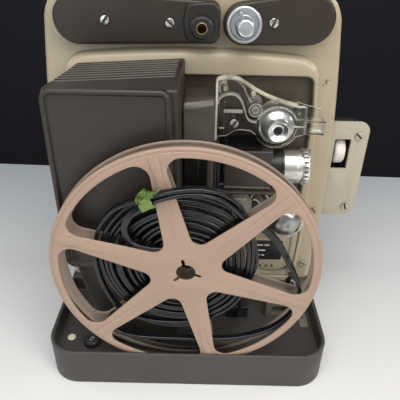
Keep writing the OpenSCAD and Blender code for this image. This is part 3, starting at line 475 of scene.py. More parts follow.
M["haze"] = glassy("hazed_acrylic", (0.62, 0.60, 0.55), 0.16, 1.40, 0.2, 0.66)
M["smoke"] = metal("worn_plate", (0.40, 0.395, 0.385), 0.30, stretch=(1, 1, 1), scale=40, tarnish=0.2, bstr=0.0, spread=0.2)
M["inlet"] = plastic("inlet_moulding", (0.120, 0.116, 0.092), 0.36, var=0.10)
# painted shade: a darker copy of the aluminium for the gaps in the lens crown
M["gap"] = plastic("tooth_gap_painted_shade", (0.20, 0.19, 0.165), 0.5, var=0.1)
M["catch"] = plastic("catch_moulding", (0.160, 0.152, 0.125), 0.40, var=0.10)
M["bracket"] = paint("bracket_enamel", (0.050, 0.047, 0.043), 0.36, grain=1400, gstr=0.3, var=0.08)
# painted shade: the scale grooves on the rear flange take a darker copy of the reel plastic
M["groove"] = plastic("scale_groove_painted_shade", (0.125, 0.100, 0.080), 0.5, var=0.1)
# painted highlight: a lighter strip colour on the lens carrier's lower edge
M["lip"] = paint("lip_enamel_painted_highlight", (0.088, 0.079, 0.066), 0.36, grain=1400, gstr=0.3, var=0.08)
M["screw_paint"] = paint("screw_enamel", mul(BEIGE, 0.86), 0.38, grain=1300, gstr=0.3, var=0.05)
# painted shade: darker beige for the floor of the painted screws' slots
M["slot_paint"] = paint("screw_slot_enamel_painted_shade", mul(BEIGE, 0.40), 0.5, grain=1300, gstr=0.3, var=0.05)
M["chip"] = plastic("chipped_enamel", (0.15, 0.115, 0.08), 0.6, var=0.2)
M["cover"] = paint("cover_enamel", (0.0255, 0.0196, 0.0150), 0.40, grain=1500, gstr=0.35, var=0.08, chip=(0.20, 0.185, 0.165), chip_amt=0.5, dust=0.10)
M["tie_light"] = plastic("tie_band", (0.150, 0.225, 0.055), 0.42, var=0.30, grain=700, gstr=0.3, dark=(0.055, 0.095, 0.022))
M["slot"] = metal("slot_shade", (0.10, 0.10, 0.10), 0.5, stretch=(30, 1, 30), scale=60, tarnish=0.3, bstr=0.05)
# painted light and shade on the lamp-house louvres: near-black flanks, lighter slat tops
M["flank"] = paint("slat_flank_painted_shade", (0.0075, 0.0066, 0.0058), 0.6, grain=1500, gstr=0.35, var=0.08)
M["slat"] = paint("slat_enamel_painted_light", (0.088, 0.076, 0.064), 0.36, grain=1500, gstr=0.35, var=0.08, chip=(0.15, 0.14, 0.125), chip_amt=0.4, dust=0.08)
M["roller"] = plastic("smoked_roller", (0.085, 0.080, 0.074), 0.22, var=0.1, dark=(0.05, 0.048, 0.045))
M["fade"] = plastic("faded_print", (0.40, 0.37, 0.29), 0.4, var=0.06)
M["label"] = plastic("label_black", (0.014, 0.014, 0.015), 0.36, var=0.1)
M["mark"] = plastic("mark_cream", (0.62, 0.60, 0.52), 0.4, var=0.06)

def tie_material():
    t = Tree("tie_paper")
    a = t.noise(260, 4, 0.7); b = t.noise(90, 5, 0.7, off=(3, 1, 2))
    c = t.mix(t.ramp(a, 0.42, 0.60), (0.030, 0.058, 0.010), (0.175, 0.275, 0.055))
    c = t.mix(t.ramp(b, 0.50, 0.60, 0, 0.9), c, (0.020, 0.036, 0.008))
    t.l(c, t.b.inputs["Base Color"])
    t.set("Roughness", 0.55)
    t.bump((a, 0.6, 0.0003), (b, 0.5, 0.0005))
    return t.mat
M["tie"] = tie_material()

# ------------------------------------------------------------------ smoother CAD nodes
def smooth_group():
    g = bpy.data.node_groups.new("smooth_edges", "GeometryNodeTree")
    g.interface.new_socket("Geometry", in_out="INPUT", socket_type="NodeSocketGeometry")
    g.interface.new_socket("Geometry", in_out="OUTPUT", socket_type="NodeSocketGeometry")
    i, o = g.nodes.new("NodeGroupInput"), g.nodes.new("NodeGroupOutput")
    s1, s2 = g.nodes.new("GeometryNodeSetShadeSmooth"), g.nodes.new("GeometryNodeSetShadeSmooth")
    s1.domain, s2.domain = "FACE", "EDGE"
    ea = g.nodes.new("GeometryNodeInputMeshEdgeAngle")
    cmp = g.nodes.new("FunctionNodeCompare")
    cmp.data_type, cmp.operation = "FLOAT", "GREATER_THAN"
    cmp.inputs[1].default_value = radians(33)
    g.links.new(ea.outputs[0], cmp.inputs[0])
    g.links.new(i.outputs[0], s1.inputs[0])
    s1.inputs["Shade Smooth"].default_value = True
    g.links.new(s1.outputs[0], s2.inputs[0])
    g.links.new(cmp.outputs[0], s2.inputs["Selection"])
    s2.inputs["Shade Smooth"].default_value = False
    g.links.new(s2.outputs[0], o.inputs[0])
    return g

def prep_group():
    g = bpy.data.node_groups.new("weld_edges", "GeometryNodeTree")
    g.interface.new_socket("Geometry", in_out="INPUT", socket_type="NodeSocketGeometry")
    g.interface.new_socket("Geometry", in_out="OUTPUT", socket_type="NodeSocketGeometry")
    i, o = g.nodes.new("NodeGroupInput"), g.nodes.new("NodeGroupOutput")
    ra = g.nodes.new("GeometryNodeRemoveAttribute")
    ra.inputs["Name"].default_value = "custom_normal"
    mg = g.nodes.new("GeometryNodeMergeByDistance")
    mg.inputs["Distance"].default_value = 2e-6
    g.links.new(i.outputs[0], ra.inputs[0])
    g.links.new(ra.outputs[0], mg.inputs[0])
    g.links.new(mg.outputs[0], o.inputs[0])
    return g
SMOOTH, PREP = smooth_group(), prep_group()

def dress(node, mat, bevel=0.0, seg=3, angle=40):
    ob = NODE[node]
    ob.data.materials.clear()
    ob.data.materials.append(mat)
    md = ob.modifiers.new("weld", "NODES"); md.node_group = PREP
    if bevel:
        dm = ob.modifiers.new("planar", "DECIMATE")
        dm.decimate_type, dm.angle_limit = "DISSOLVE", radians(0.6)
        bv = ob.modifiers.new("edges", "BEVEL")
        bv.limit_method, bv.angle_limit = "ANGLE", radians(angle)
        bv.width, bv.segments, bv.use_clamp_overlap = bevel * MM, seg, True
        bv.miter_outer = "MITER_ARC"
    md = ob.modifiers.new("smooth", "NODES"); md.node_group = SMOOTH
    return ob

for node, mat, bev in (
    ("base_tray", "base", 1.0), ("base_feet", "rubber", 0.6), ("tray_bumper", "rubber", 0.5), ("tray_rivet", "cream", 0.25),
    ("tray_catch", "catch", 0.25), ("front_casting", "casing", 0), ("rear_cover", "casing", 0), ("mechanism_plate", "works", 0.25),
    ("casing_screws", "steel", 0), ("lamp_house_body", "dark", 0), ("lamp_house_cover", "dark", 0), ("lamp_house_duct", "duct", 2.2),
    ("lamp", "bulb", 0), ("lamp_socket", "ceramic", 0.5), ("gate_housing", "dark", 0.9), ("film_gate", "slot", 0.2),
    ("pressure_plate", "slot", 0.2), ("lens_carrier", "shelf", 0.7), ("lens_collar", "black", 0.3), ("lens_barrel", "satin", 0.2),
    ("lens_ring", "satin", 0), ("lens_front_glass", "lens", 0), ("upper_sprocket", "chrome", 0.2), ("upper_gear", "fibre", 0),
    ("upper_film_guide", "clear", 0), ("guide_roller", "clear", 0.3), ("exit_roller", "black", 0.3), ("guide_screws", "steel", 0.3),
    ("lower_sprocket", "chrome", 0.2), ("lower_gear", "fibre", 0), ("lower_film_guide", "clear", 0.2), ("control_plate", "plate", 0.4),
    ("control_lever", "steel", 0.2), ("lever_knob", "gloss", 0), ("side_box_body", "dark", 1.2), ("side_box_plate", "side", 0.5),
    ("thumbwheel", "ivory", 0.25), ("rear_arm", "arm", 0), ("rear_arm_screws", "steel", 0.3), ("rear_spindle_boss", "black", 0.4),
    ("rear_spindle_bush", "brass", 0.2), ("front_arm", "arm", 0), ("front_arm_screw", "steel", 0.3), ("front_spindle", "chrome", 0.3),
    ("arm_pivots", "steel", 0.3), ("motor", "steel", 0.6), ("motor_shaft", "steel", 0), ("fan_wheel", "satin", 0), ("drive_belt", "rubber", 0),
    ("shutter", "black", 0), ("shutter_shaft", "steel", 0), ("power_inlet", "inlet", 0.5), ("reel_front_half", "reel", 0),
    ("reel_rear_half", "reel_back", 0), ("cord_coil", "vinyl", 0), ("cord_lead_plug", "vinyl", 0), ("cord_lead_connector", "vinyl", 0),
    ("cord_plug", "black", 1.0), ("cord_connector", "black", 1.0), ("twist_tie", "tie", 0)):
    dress(node, M[mat], bev)

# ------------------------------------------------------------------ cord set
RX, RY, RZ = -1.0, -82.0, 107.6            # reel centre and front face
TURN = -17.6                               # angle of the first spoke
CX, CZ = -5.0, 113.6                       # middle of the wound turns

def cord_route():
    """Control points (x, y, z, twist): connector, one outer turn over the top spoke, the winding, the inner end back through the tie, the loose outer turn, plug."""
    P = []
    lead_c = [(40, -32, 24.4), (40, -37, 27), (40, -42, 34), (40, -48, 44), (40, -54, 55), (39.6, -60, 66), (39.4, -66, 75.5), (40.2, -70.6, 84)]
    P += [(*p, 0) for p in lead_c]
    def pol(a, r, y, tw=0):
        P.append((CX + r * cos(radians(a)), y, CZ + r * sin(radians(a)), tw))
    for a, r, y in ((-17, 50.4, -72.4), (-4, 50.8, -72.6), (9, 50.2, -72.8), (22, 50.2, -73.0), (35, 52.2, -73.6), (48, 55.6, -75.6),
                    (57.5, 58.4, -79.0), (67, 60.4, -82.6), (76, 60.6, -85.2), (84, 59.4, -86.0), (92, 58.0, -86.1), (101, 56.8, -85.9),
                    (110, 55.8, -85.2), (118, 55.6, -83.4), (127, 56, -80.6), (137, 56.4, -77.6), (149, 56.4, -75.6), (161, 56.2, -74.8),
                    (173, 56, -74.6), (185, 56, -74.6), (197, 56.8, -74.6), (209, 58.6, -74.6), (221, 61, -74.6), (233, 61.8, -74.6),
                    (246, 60.2, -74.6), (259, 58, -74.6), (272, 56.8, -74.6)):
        pol(a, r, y)
    # the wound turns, from outside in, closing on the hub
    turns, r0, r1 = 11.0, 56.2, 18.6
    n = int(turns * 26)
    for i in range(1, n + 1):
        f = i / n
        a = 272 + 360 * turns * f
        r = r0 + (r1 - r0) * f
        wob = 0.9 * sin(radians(a * 0.37 + 40)) + 0.6 * sin(radians(a * 1.13)) + 0.5 * mn.noise(Vector((cos(radians(a)) * 1.3, sin(radians(a)) * 1.3, f * 9)))
        y = -74.4 + 0.8 * mn.noise(Vector((cos(radians(a)) * 0.9 + 5, sin(radians(a)) * 0.9, f * 7)))
        r += wob * min(1, 3 * (1 - f))
        da, db = (a - 85 + 180) % 360 - 180, (a + 5 + 180) % 360 - 180
        r -= (6.0 * math.exp(-(da / 48) ** 2) + 8.0 * math.exp(-(db / 40) ** 2)) * (1 - f) ** 1.6
        P.append((CX + (RX - CX) * f + r * cos(radians(a)), y, CZ + (RZ - CZ) * f + r * sin(radians(a)), 0))
    # inner end: over the hub, out to the left, back through the tie
    last = P[-1]
    for x, y, z, tw in ((15.6, -75.6, 117.4, 0), (10.4, -76.6, 122.8, 20), (3.2, -77.8, 125.4, 50), (-5.4, -78.8, 125.2, 56), (-14, -79.3, 124.4, 56), (-22, -79.5, 124.4, 56), (-28.8, -79.6, 125.8, 56),
                        (-34.2, -79.8, 128.6, 56), (-37.8, -80.0, 133.2, 58), (-39.2, -80.4, 139.0, 60), (-38.2, -81.2, 145.0, 60), (-35.4, -82.4, 150.8, 58),
                        (-31, -83.8, 156.0, 48), (-25.6, -85, 160.4, 30), (-19.2, -85.8, 164.4, 8), (-12.4, -86.2, 167.0, 0), (-4.6, -86.3, 169.0, 0), (4, -86, 169.6, 0),
                        (12.6, -84.8, 168.4, 0), (20, -82.6, 164.6, 0), (26.6, -80.2, 158.6, 0), (32, -78.6, 152.2, 10), (37.4, -78.0, 147.2, 40), (43.6, -77.8, 143.4, 70), (50, -77.4, 138.6, 85),
                        (56, -77.0, 131.8, 80), (61.6, -76.5, 123.0, 60), (67.6, -76.1, 111.8, 30), (73.4, -75.8, 99.6, 10), (77.2, -75.4, 87.4, 0), (76.4, -75.2, 75, 0),
                        (70.8, -75.2, 63.4, 0), (61.6, -75.2, 53.6, 0), (50.4, -75.2, 47.2, 0), (38.6, -75.2, 43, 0), (26, -75.2, 41, 0), (13, -75.2, 40.4, 0),
                        (0, -75.2, 40.4, 0), (-13, -75.2, 40.6, 0), (-26, -75.2, 41, 0), (-38.6, -75.2, 42.2, 0), (-48.6, -75, 45.4, 0), (-55, -74.8, 51, 0),
                        (-56.6, -74.6, 58, 0), (-52.6, -74.4, 63.4, 0), (-45.4, -74.2, 64, 0), (-36, -74.2, 60.6, 0), (-26, -74.2, 56.4, 0), (-14, -74.2, 53.8, 0),
                        (-2, -74.2, 53.6, 0), (8, -73.8, 55.4, 0), (15.4, -72.2, 58.4, 0), (20, -69, 60.6, 0), (21.8, -64.4, 60.4, 0), (22, -59.4, 56.6, 0),
                        (21.5, -54, 49, 0), (20.5, -48, 39.6, 0), (19.2, -42, 31.4, 0), (18.2, -37, 26.4, 0), (18, -32, 24.4, 0)):
        P.append((x, y, z, tw))
    return P

def catmull(P, step):
    """Points along a centripetal-like spline through P, about step apart (all four numbers)."""
    out = []
    n = len(P)
    for i in range(n - 1):
        p0, p1, p2, p3 = P[max(i - 1, 0)], P[i], P[i + 1], P[min(i + 2, n - 1)]
        d = sqrt(sum((p2[k] - p1[k]) ** 2 for k in range(3)))
        m = max(2, int(d / step * 3))
        for j in range(m):
            t = j / m
            out.append(tuple(0.5 * (2 * p1[k] + (p2[k] - p0[k]) * t + (2 * p0[k] - 5 * p1[k] + 4 * p2[k] - p3[k]) * t * t + (3 * p1[k] - p0[k] - 3 * p2[k] + p3[k]) * t ** 3) for k in range(4)))
    out.append(P[-1])
    for _ in range(3):
        out = [out[0]] + [tuple((out[i - 1][k] + 2 * out[i][k] + out[i + 1][k]) / 4 for k in range(4)) for i in range(1, len(out) - 1)] + [out[-1]]
    res, acc = [out[0]], 0.0
    for a, b in zip(out, out[1:]):
        d = sqrt(sum((b[k] - a[k]) ** 2 for k in range(3)))
        acc += d
        if acc >= step:
            res.append(b); acc = 0.0
    res[-1] = out[-1]
    return res

def tube(path, section):
    """Sweeps a closed section (u across the flat, v through it) along path points with a twist in degrees."""
    rings = []
    n = len(path)
    for i in range(n):
        a, b = Vector(path[max(i - 1, 0)][:3]), Vector(path[min(i + 1, n - 1)][:3])
        t = (b - a).normalized()
        e1 = Vector((0, 1, 0)); e1 = (e1 - t * e1.dot(t)).normalized()
        e2 = t.cross(e1)
        w = radians(path[i][3])
        c = Vector(path[i][:3])
        rings.append([tuple(c + e1 * (u * cos(w) - v * sin(w)) + e2 * (u * sin(w) + v * cos(w))) for u, v in section])
    return loft(rings)

def twin_section(width, thick, n=18):
    """Flat twin flex: two round cores side by side with a shallow groove between."""
    S = []
    r = thick / 2
    o = width / 2 - r
    for k in range(n):
        a = 2 * pi * k / n
        u, v = (o if cos(a) >= 0 else -o) + r * cos(a), r * sin(a)
        if abs(u) < o * 0.45:
            v *= 0.80
        S.append((u, v))
    S = [(u, v) for u, v in S]
    top = [(0.0, r * 0.42)]; bot = [(0.0, -r * 0.42)]
    pos = [p for p in S if p[0] > 0]; neg = [p for p in S if p[0] <= 0]
    pos.sort(key=lambda p: atan2(p[1], p[0] - o)); neg.sort(key=lambda p: atan2(p[1], -(p[0] + o)), reverse=True)
    return bot + pos + top + neg

ROUTE = catmull(cord_route(), 2.0)
cord = mesh_obj("mains_cord", [tube(ROUTE, twin_section(5.0, 2.75))], M["vinyl"], 60)
put(cord, "reel", "cord_vinyl", "cord_coil", "cord_lead_plug", "cord_lead_connector")

# ------------------------------------------------------------------ reel
def reel_window(i, R=82.7, hw_=5.0):
    """Outline of one window, clockwise so that it reads as a hole."""
    def line(ang, side):
        d = Vector((1, -0.077)).normalized(); nrm = Vector((0.077, 1)).normalized(); p0 = Vector((75, hw_))
        if side < 0:
            d, nrm, p0 = Vector((d.x, -d.y)), Vector((nrm.x, -nrm.y)), Vector((75, -hw_))
        c, s = cos(radians(ang)), sin(radians(ang))
        rot = lambda v: Vector((v.x * c - v.y * s, v.x * s + v.y * c))
        return rot(d), rot(nrm), rot(p0)
    a0, a1 = TURN + 60 * i, TURN + 60 + 60 * i
    ro, ri = 8.6, 6.5
    out = []
    mid = Vector((cos(radians(a0 + 30)), sin(radians(a0 + 30))))
    L0, L1 = line(a0, 1), line(a1, -1)
    s = (ri + L0[1].dot(L0[2])) / L0[1].dot(mid)
    ci = mid * s
    def corner(L):
        d, nrm, p0 = L
        b = p0 + nrm * ro
        bb, dd, cc = b.dot(d), 1.0, b.dot(b) - (R - ro) ** 2
        t = -bb + sqrt(bb * bb - cc)
        return b + d * t, nrm
    c0, n0 = corner(L0)
    c1, n1 = corner(L1)
    ang = lambda v: atan2(v.y, v.x)
    def sweep(c, r, va, vb, n):
        a, b = ang(va), ang(vb)
        while b < a - 1e-9:
            b += 2 * pi
        return [(c.x + r * cos(a + (b - a) * k / n), c.y + r * sin(a + (b - a) * k / n)) for k in range(n + 1)]
    out += sweep(c0, ro, -n0, c0, 10)                              # lower outer corner
    out += sweep(Vector((0, 0)), R, c0, c1, 24)[1:-1]              # outer arc
    out += sweep(c1, ro, c1, -n1, 10)
    out += sweep(ci, ri, -n1, -n0, 12)                             # inner tip
    return out

def hub_hole(r=6.35, rn=10.6, hwid=1.05):
    pts = []
    for k in range(3):
        a = 102.4 + 120 * k
        da = math.degrees(math.asin(hwid / r))
        pts += arc(0, 0, r, a - 120 + da, a - da, 14)
        c, s = cos(radians(a)), sin(radians(a))
        for rad, w in ((rn - 0.6, -hwid), (rn, -hwid * 0.4), (rn, hwid * 0.4), (rn - 0.6, hwid)):
            pts.append((rad * c - w * s, rad * s + w * c))
    return pts

def reel_half(name, node, front):
    """One flange with its rim bead, spoke ribs and half of the hub core."""
    y_of = (lambda t: RY + t) if front else (lambda t: RY + 13.5 - t)     # t grows from the outer face inwards
    parts, lines = [], []
    holes = [reel_window(i) if front else [(x + 1.2, z) for x, z in reel_window(i, 82.7, 3.4)] for i in range(6)] + [hub_hole()]
    V, F = plate2d([arc(0, 0, 86.5, 0, 360, 180)[:-1]] + holes, 1.5, 0.45, 2)
    parts.append(([(x + RX, y_of(0.75 - t), z + RZ) for x, z, t in V], F))
    prof = [(85.4, 0.85), (86.6, 0.80), (87.6, 0.72), (88.2, 0.80), (88.6, 1.05), (88.9, 1.6), (88.95, 2.5), (88.6, 2.95), (87.9, 3.05), (87.1, 2.7), (86.6, 2.0), (86.0, 1.45), (85.4, 1.35)]
    parts.append(lathe([(r, y_of(t)) for r, t in prof], (RX, 0, RZ), "y", 180))
    # hub core between the flanges
    parts.append(lathe([(r, y_of(t)) for r, t in ((13.2, 1.2), (15.4, 1.2), (15.4, 6.5), (15.1, 6.7), (13.5, 6.7), (13.2, 6.5))], (RX, 0, RZ), "y", 72))
    # low ring round the hole
    parts.append(lathe([(r, y_of(t)) for r, t in ((11.6, 0.2), (11.9, -0.10), (12.6, -0.16), (13.3, -0.10), (13.6, 0.2))], (RX, 0, RZ), "y", 72))
    for i in range(6):
        a = radians(TURN + 60 * i)
        rings = []
        m = 14
        for k in range(m + 1):
            f = k / m
            r = 28 + (86.2 - 28) * f
            wb = 0.25 + 3.1 * f
            h = 0.10 + 0.75 * f
            if k == m:
                h *= 0.15
            sec = [(-wb, 0.35), (-wb * 0.93, -h * 0.88), (-wb * 0.84, -h), (wb * 0.84, -h), (wb * 0.93, -h * 0.88), (wb, 0.35)]
            rings.append([(RX + r * cos(a) - v * sin(a), y_of(t), RZ + r * sin(a) + v * cos(a)) for v, t in sec])
        parts.append(loft(rings))
        for q in (() if front or i else (-0.1, 0.16, 0.42, 0.68)):               # fine scale lines along one spoke, coloured darker as painted shade in the grooves
            rings = []
            for k in range(9):
                r = 31 + 47 * k / 8
                v0 = q * (3.4 - 0.077 * (r - 75))
                sec = [(v0 - 0.28, 1.35), (v0 - 0.22, 1.62), (v0 + 0.22, 1.62), (v0 + 0.28, 1.35)]
                rings.append([(RX + r * cos(a) - v * sin(a), y_of(t), RZ + r * sin(a) + v * cos(a)) for v, t in sec])
            lines.append(loft(rings))
    # the rear flange takes the painted-shade copy of the reel plastic
    ob = mesh_obj(name, parts + lines, [M["reel"] if front else M["reel_back"]] * len(parts) + [M["groove"]] * len(lines), 32)
    put(ob, "reel", "reel_plastic", node)
    return ob
reel_half("reel_front", "reel_front_half", True)
reel_half("reel_rear", "reel_rear_half", False)

# ------------------------------------------------------------------ casing
def hw(z):
    return 108.6 - 8.4 * ((z - 100) / 140) ** 2 if z > 100 else 108.6 - 3.4 * ((100 - z) / 67) ** 2

def outline(off, zb, zt, rt, rb=0.02, nS=18, nC=8, nT=16, arch=0.0, xright=None):
    """Closed outline of the casing family, counter-clockwise seen from the front, always with the same number of points."""
    P = []
    zc = zt - rt
    xr = hw(zc) - off
    right = []
    xb = hw(zb + rb) - off
    right += [(xb - rb + rb * cos(radians(a)), zb + rb + rb * sin(radians(a))) for a in [-90 + 90 * i / 4 for i in range(4)]]
    right += [(hw(zb + rb + (zc - zb - rb) * i / nS) - off, zb + rb + (zc - zb - rb) * i / nS) for i in range(nS + 1)]
    right += [(xr - rt + rt * cos(radians(90 * i / nC)), zc + rt * sin(radians(90 * i / nC))) for i in range(1, nC + 1)]
    top = [((xr - rt) * (1 - 2 * i / nT), zt) for i in range(1, nT)]
    left = [(-x, z) for x, z in right[::-1]]
    bot = [(-(xb - rb) + 2 * (xb - rb) * i / nT, zb) for i in range(1, nT)]
    if arch:                                              # the top edge sags towards its ends
        bend = lambda x, z: z - arch * (x / xr) ** 2 * max(0.0, min(1.0, (z - zb) / (zt - zb) * 5 - 4))
        right, top, left = ([(x, bend(x, z)) for x, z in q] for q in (right, top, left))
    if xright:                                            # a straight right edge from the control plate up
        right = [(x - max(0.0, x - xright) * max(0.0, min(1.0, (z - 88) / 12)) if z < zt - rt + 0.01 else x - max(0.0, xr - xright), z) for x, z in right]
        top = [(min(x, xright - rt), z) for x, z in top]
    return right + top + left + bot

def ring_y(o, y):
    return [(x, y, z) for x, z in o]

def casing_front():
    R = []
    T, B = 273.5, 32.5
    R.append(ring_y(outline(3, B, T - 3, 26), 40))
    R.append(ring_y(outline(0.4, B, T - 0.4, 28.6), 40))
    R.append(ring_y(outline(0, B, T, 29), 39.6))
    R.append(ring_y(outline(0, B, T, 29), 25))
    for i in range(7):                                    # outer edge, radius 4
        a = pi / 2 * i / 6
        d = 4 * (1 - cos(a))
        R.append(ring_y(outline(d, B, T - d, 29 - d), 6 + 4 * (1 - sin(a))))
    # fillet from the border up the housing
    for d, y in ((-1.3, 6), (-0.55, 5.85), (-0.15, 5.45), (0, 4.7)):
        R.append(ring_y(outline(14.6 + d, 33.2, 232 - d, 15 - d, 0.3, arch=5.2), y))
    for i in range(9):                                    # rounded shoulder, deeper along the top
        a = pi / 2 * i / 8
        d = 3.1 * (1 - cos(a)); dt = 8.5 * (1 - cos(a)) ;
        R.append(ring_y(outline(14.6 + d, 33.4 + 0.8 * d, 232 - dt, 15 - d, 0.4, arch=5.2 - 3.4 * (1 - cos(a))), -3 + 7.0 * (1 - sin(a))))
    for i in range(5):                                    # window edge
        a = pi / 2 * i / 4
        d = 1.2 * sin(a)
        R.append(ring_y(outline(18.0 + d, 38.8 + d, 216.6 - d, 7.2 - d, 1.4, xright=87.2 - d), -3 + 1.2 * (1 - cos(a))))
    R.append(ring_y(outline(19.2, 40, 215.4, 6, 1.4, xright=86.0), 2.3))
    R.append(ring_y(outline(15.8, 38, 218, 8, 1.4), 8.6))
    R.append(ring_y(outline(15.2, 37, 220, 9, 1.4), 9))
    R.append(ring_y(outline(3, B, T - 3, 26), 9))
    V, F = loft(R, loop=True)
    ob = mesh_obj("casing_front", [(V, F)], M["casing"], 40)
    cut(ob, [lathe([(0.0, 2), (2.2, 2), (2.2, 14), (0.0, 14)], (104.2, 0, 81), "y", 24, False)])
    cut(ob, [lathe([(0.0, 80), (14.2, 80), (14.2, 88.4), (0.0, 88.4)], (0, -14, 153.3), "x", 72, False)])       # room for the lens ring
    put(ob, "root", "casing_paint", "front_casting")
casing_front()

def casing_rear():
    R = []
    T, B = 273.5, 32.5
    R.append(ring_y(outline(6, B + 3, T - 6, 23), 79))
    R.append(ring_y(outline(3, B, T - 3, 26), 74))
    R.append(ring_y(outline(3, B, T - 3, 26), 40.3))
    R.append(ring_y(outline(0.4, B, T - 0.4, 28.6), 40.3))
    R.append(ring_y(outline(0, B, T, 29), 40.7))
    R.append(ring_y(outline(0, B, T, 29), 56))
    for i in range(9):
        a = pi / 2 * i / 8
        d = 8 * (1 - cos(a))
        R.append(ring_y(outline(d, B, T - d, 29 - d), 82 - 8 * (1 - sin(a))))
    R.append(ring_y(outline(40, B + 30, T - 40, 8), 82))
    V, F = loft(R)
    ob = mesh_obj("casing_rear", [(V, F)], M["casing"], 40)
    slots = []
    for i in range(10):
        slots.append(slab(rrect(-58, 60 + i * 7, -8, 63 + i * 7, 1.45, 5), 70, 90, 0.2, 0.2, 1))
    for i in range(6):
        slots.append(slab(rrect(36, 60 + i * 7, 86, 63 + i * 7, 1.45, 5), 70, 90, 0.2, 0.2, 1))
    cut(ob, slots)
    put(ob, "root", "casing_paint", "rear_cover")
casing_rear()

# ------------------------------------------------------------------ lamp house
def grab(ob):
    """Takes a finished object apart again, for joining."""
    me = ob.data
    V = [tuple(v.co / MM) for v in me.vertices]
    F = [tuple(p.vertices) for p in me.polygons]
    bpy.data.objects.remove(ob)
    bpy.data.meshes.remove(me)
    return V, F

def split(part, axis=1, lim=0.6):
    """The faces of a part that look along an axis, and the others."""
    V, F = part
    flat, side = [], []
    for q in F:
        c = [Vector(V[k]) for k in q]
        n = Vector((0, 0, 0))
        for i in range(len(c)):
            n += (c[i] - c[0]).cross(c[(i + 1) % len(c)] - c[0])
        (flat if n.length < 1e-12 or abs(n[axis]) / n.length > lim else side).append(q)
    return (V, flat), (V, side)

def strip(pts, w):
    """A closed outline of even width along a line of points, counter-clockwise."""
    L, R = [], []
    for i, p in enumerate(pts):
        a, b = pts[max(i - 1, 0)], pts[min(i + 1, len(pts) - 1)]
        d = hypot(b[0] - a[0], b[1] - a[1])
        nx, nz = -(b[1] - a[1]) / d * w / 2, (b[0] - a[0]) / d * w / 2
        L.append((p[0] + nx, p[1] + nz)); R.append((p[0] - nx, p[1] - nz))
    return R + L[::-1]

def smooth_line(pts, n=5):
    out = []
    for i in range(len(pts) - 1):
        p0, p1, p2, p3 = pts[max(i - 1, 0)], pts[i], pts[i + 1], pts[min(i + 2, len(pts) - 1)]
        for j in range(n):
            t = j / n
            out.append(tuple(0.5 * (2 * p1[k] + (p2[k] - p0[k]) * t + (2 * p0[k] - 5 * p1[k] + 4 * p2[k] - p3[k]) * t * t + (3 * p1[k] - p0[k] - 3 * p2[k] + p3[k]) * t ** 3) for k in range(2)))
    return out + [tuple(pts[-1])]

def lamp_house():
    left = lambda y: -85.2 + (y + 61) * 0.124
    right = lambda y: -6 + (y + 61) / 58 * 1.5
    tilt = lambda x, y: 4.7 * max(0.0, min(1.0, (x + 80) / 74)) * max(0.0, min(1.0, (y + 61) / 13))
    plan = fillet_profile([(-85.2, -61), (-6, -61), (right(-48), -48), (-4.5, -3), (-78, -3), (left(-48), -48)], [2.6, 2.6, 0, 1.8, 1.8, 0], 6)
    ob = mesh_obj("lamp_house", [slab_z(plan, 99, 222, 0.4, 1.4, 5)], M["dark"])
    cut(ob, [slab_z([(-83, -70), (-11.5, -70), (-9.5, -5), (-76, -5)], 98, 219.6, 0.01, 0.01, 1)])
    y0, y1 = -47.6, -5.2
    cut(ob, [slab_z([(left(y0) - 4, y0), (right(y0) - 3.4, y0), (right(y1) - 3.4, y1), (left(y1) - 4, y1)], 217.2, 226, 0.01, 0.01, 1)])
    cut(ob, [lathe([(0, -20), (11, -20), (11, 5), (0, 5)], (0, -14, 153.3), "x", 48, False)])
    parts = [grab(ob)]
    n = 8
    for i in range(n):
        y = -44.9 + i * 5.35
        x0, x1 = left(y) + 0.15, right(y) - 3.0
        sec = [(-1.3, 212.4), (1.3, 212.4), (1.3, 221.35), (1.2, 221.65), (0.95, 221.85), (-0.95, 221.85), (-1.2, 221.65), (-1.3, 221.35)]
        rings = []
        for f, k in ((0.0, 0.80), (0.35, 0.93), (1.0, 1.0), (20, 1.0), (40, 1.0)):
            rings.append([(x0 + f, y + u * k, 218.5 + (v - 218.5) * k) for u, v in sec])
        for f, k in ((0.6, 1.0), (0.0, 1.0)):
            rings.append([(x1 - f, y + u * k, 218.5 + (v - 218.5) * k) for u, v in sec])
        # painted light: slat tops take a lighter paint than the lamp house and their flanks a near-black one
        parts.extend(split(loft(rings), 2))
    parts = [([(x, y, z + tilt(x, y) * max(0.0, min(1.0, (z - 205) / 8))) for x, y, z in V], F) for V, F in parts]
    put(mesh_obj("lamp_house", parts, [M["dark"]] + [M["slat"], M["flank"]] * n, 38), "root", "dark_paint", "lamp_house_body")
    # front cover with its raised bead
    base = rrect(-84.9, 97, -9.6, 223.7, 7, 10)
    prof = ((4.0, -61.3), (1.2, -61.3), (0.35, -61.32), (0.0, -61.65), (0.0, -64.0), (0.2, -65.0), (0.7, -65.75), (1.4, -66.2), (2.1, -66.33), (2.8, -66.15), (3.35, -65.6), (3.7, -64.95), (4.05, -64.5), (4.6, -64.3), (6.2, -64.3))
    put(mesh_obj("lamp_cover", [loft([[(x, y, z) for x, z in offset(base, d)] for d, y in prof])], M["cover"], 40), "lamp_cover", "dark_paint", "lamp_house_cover")
lamp_house()

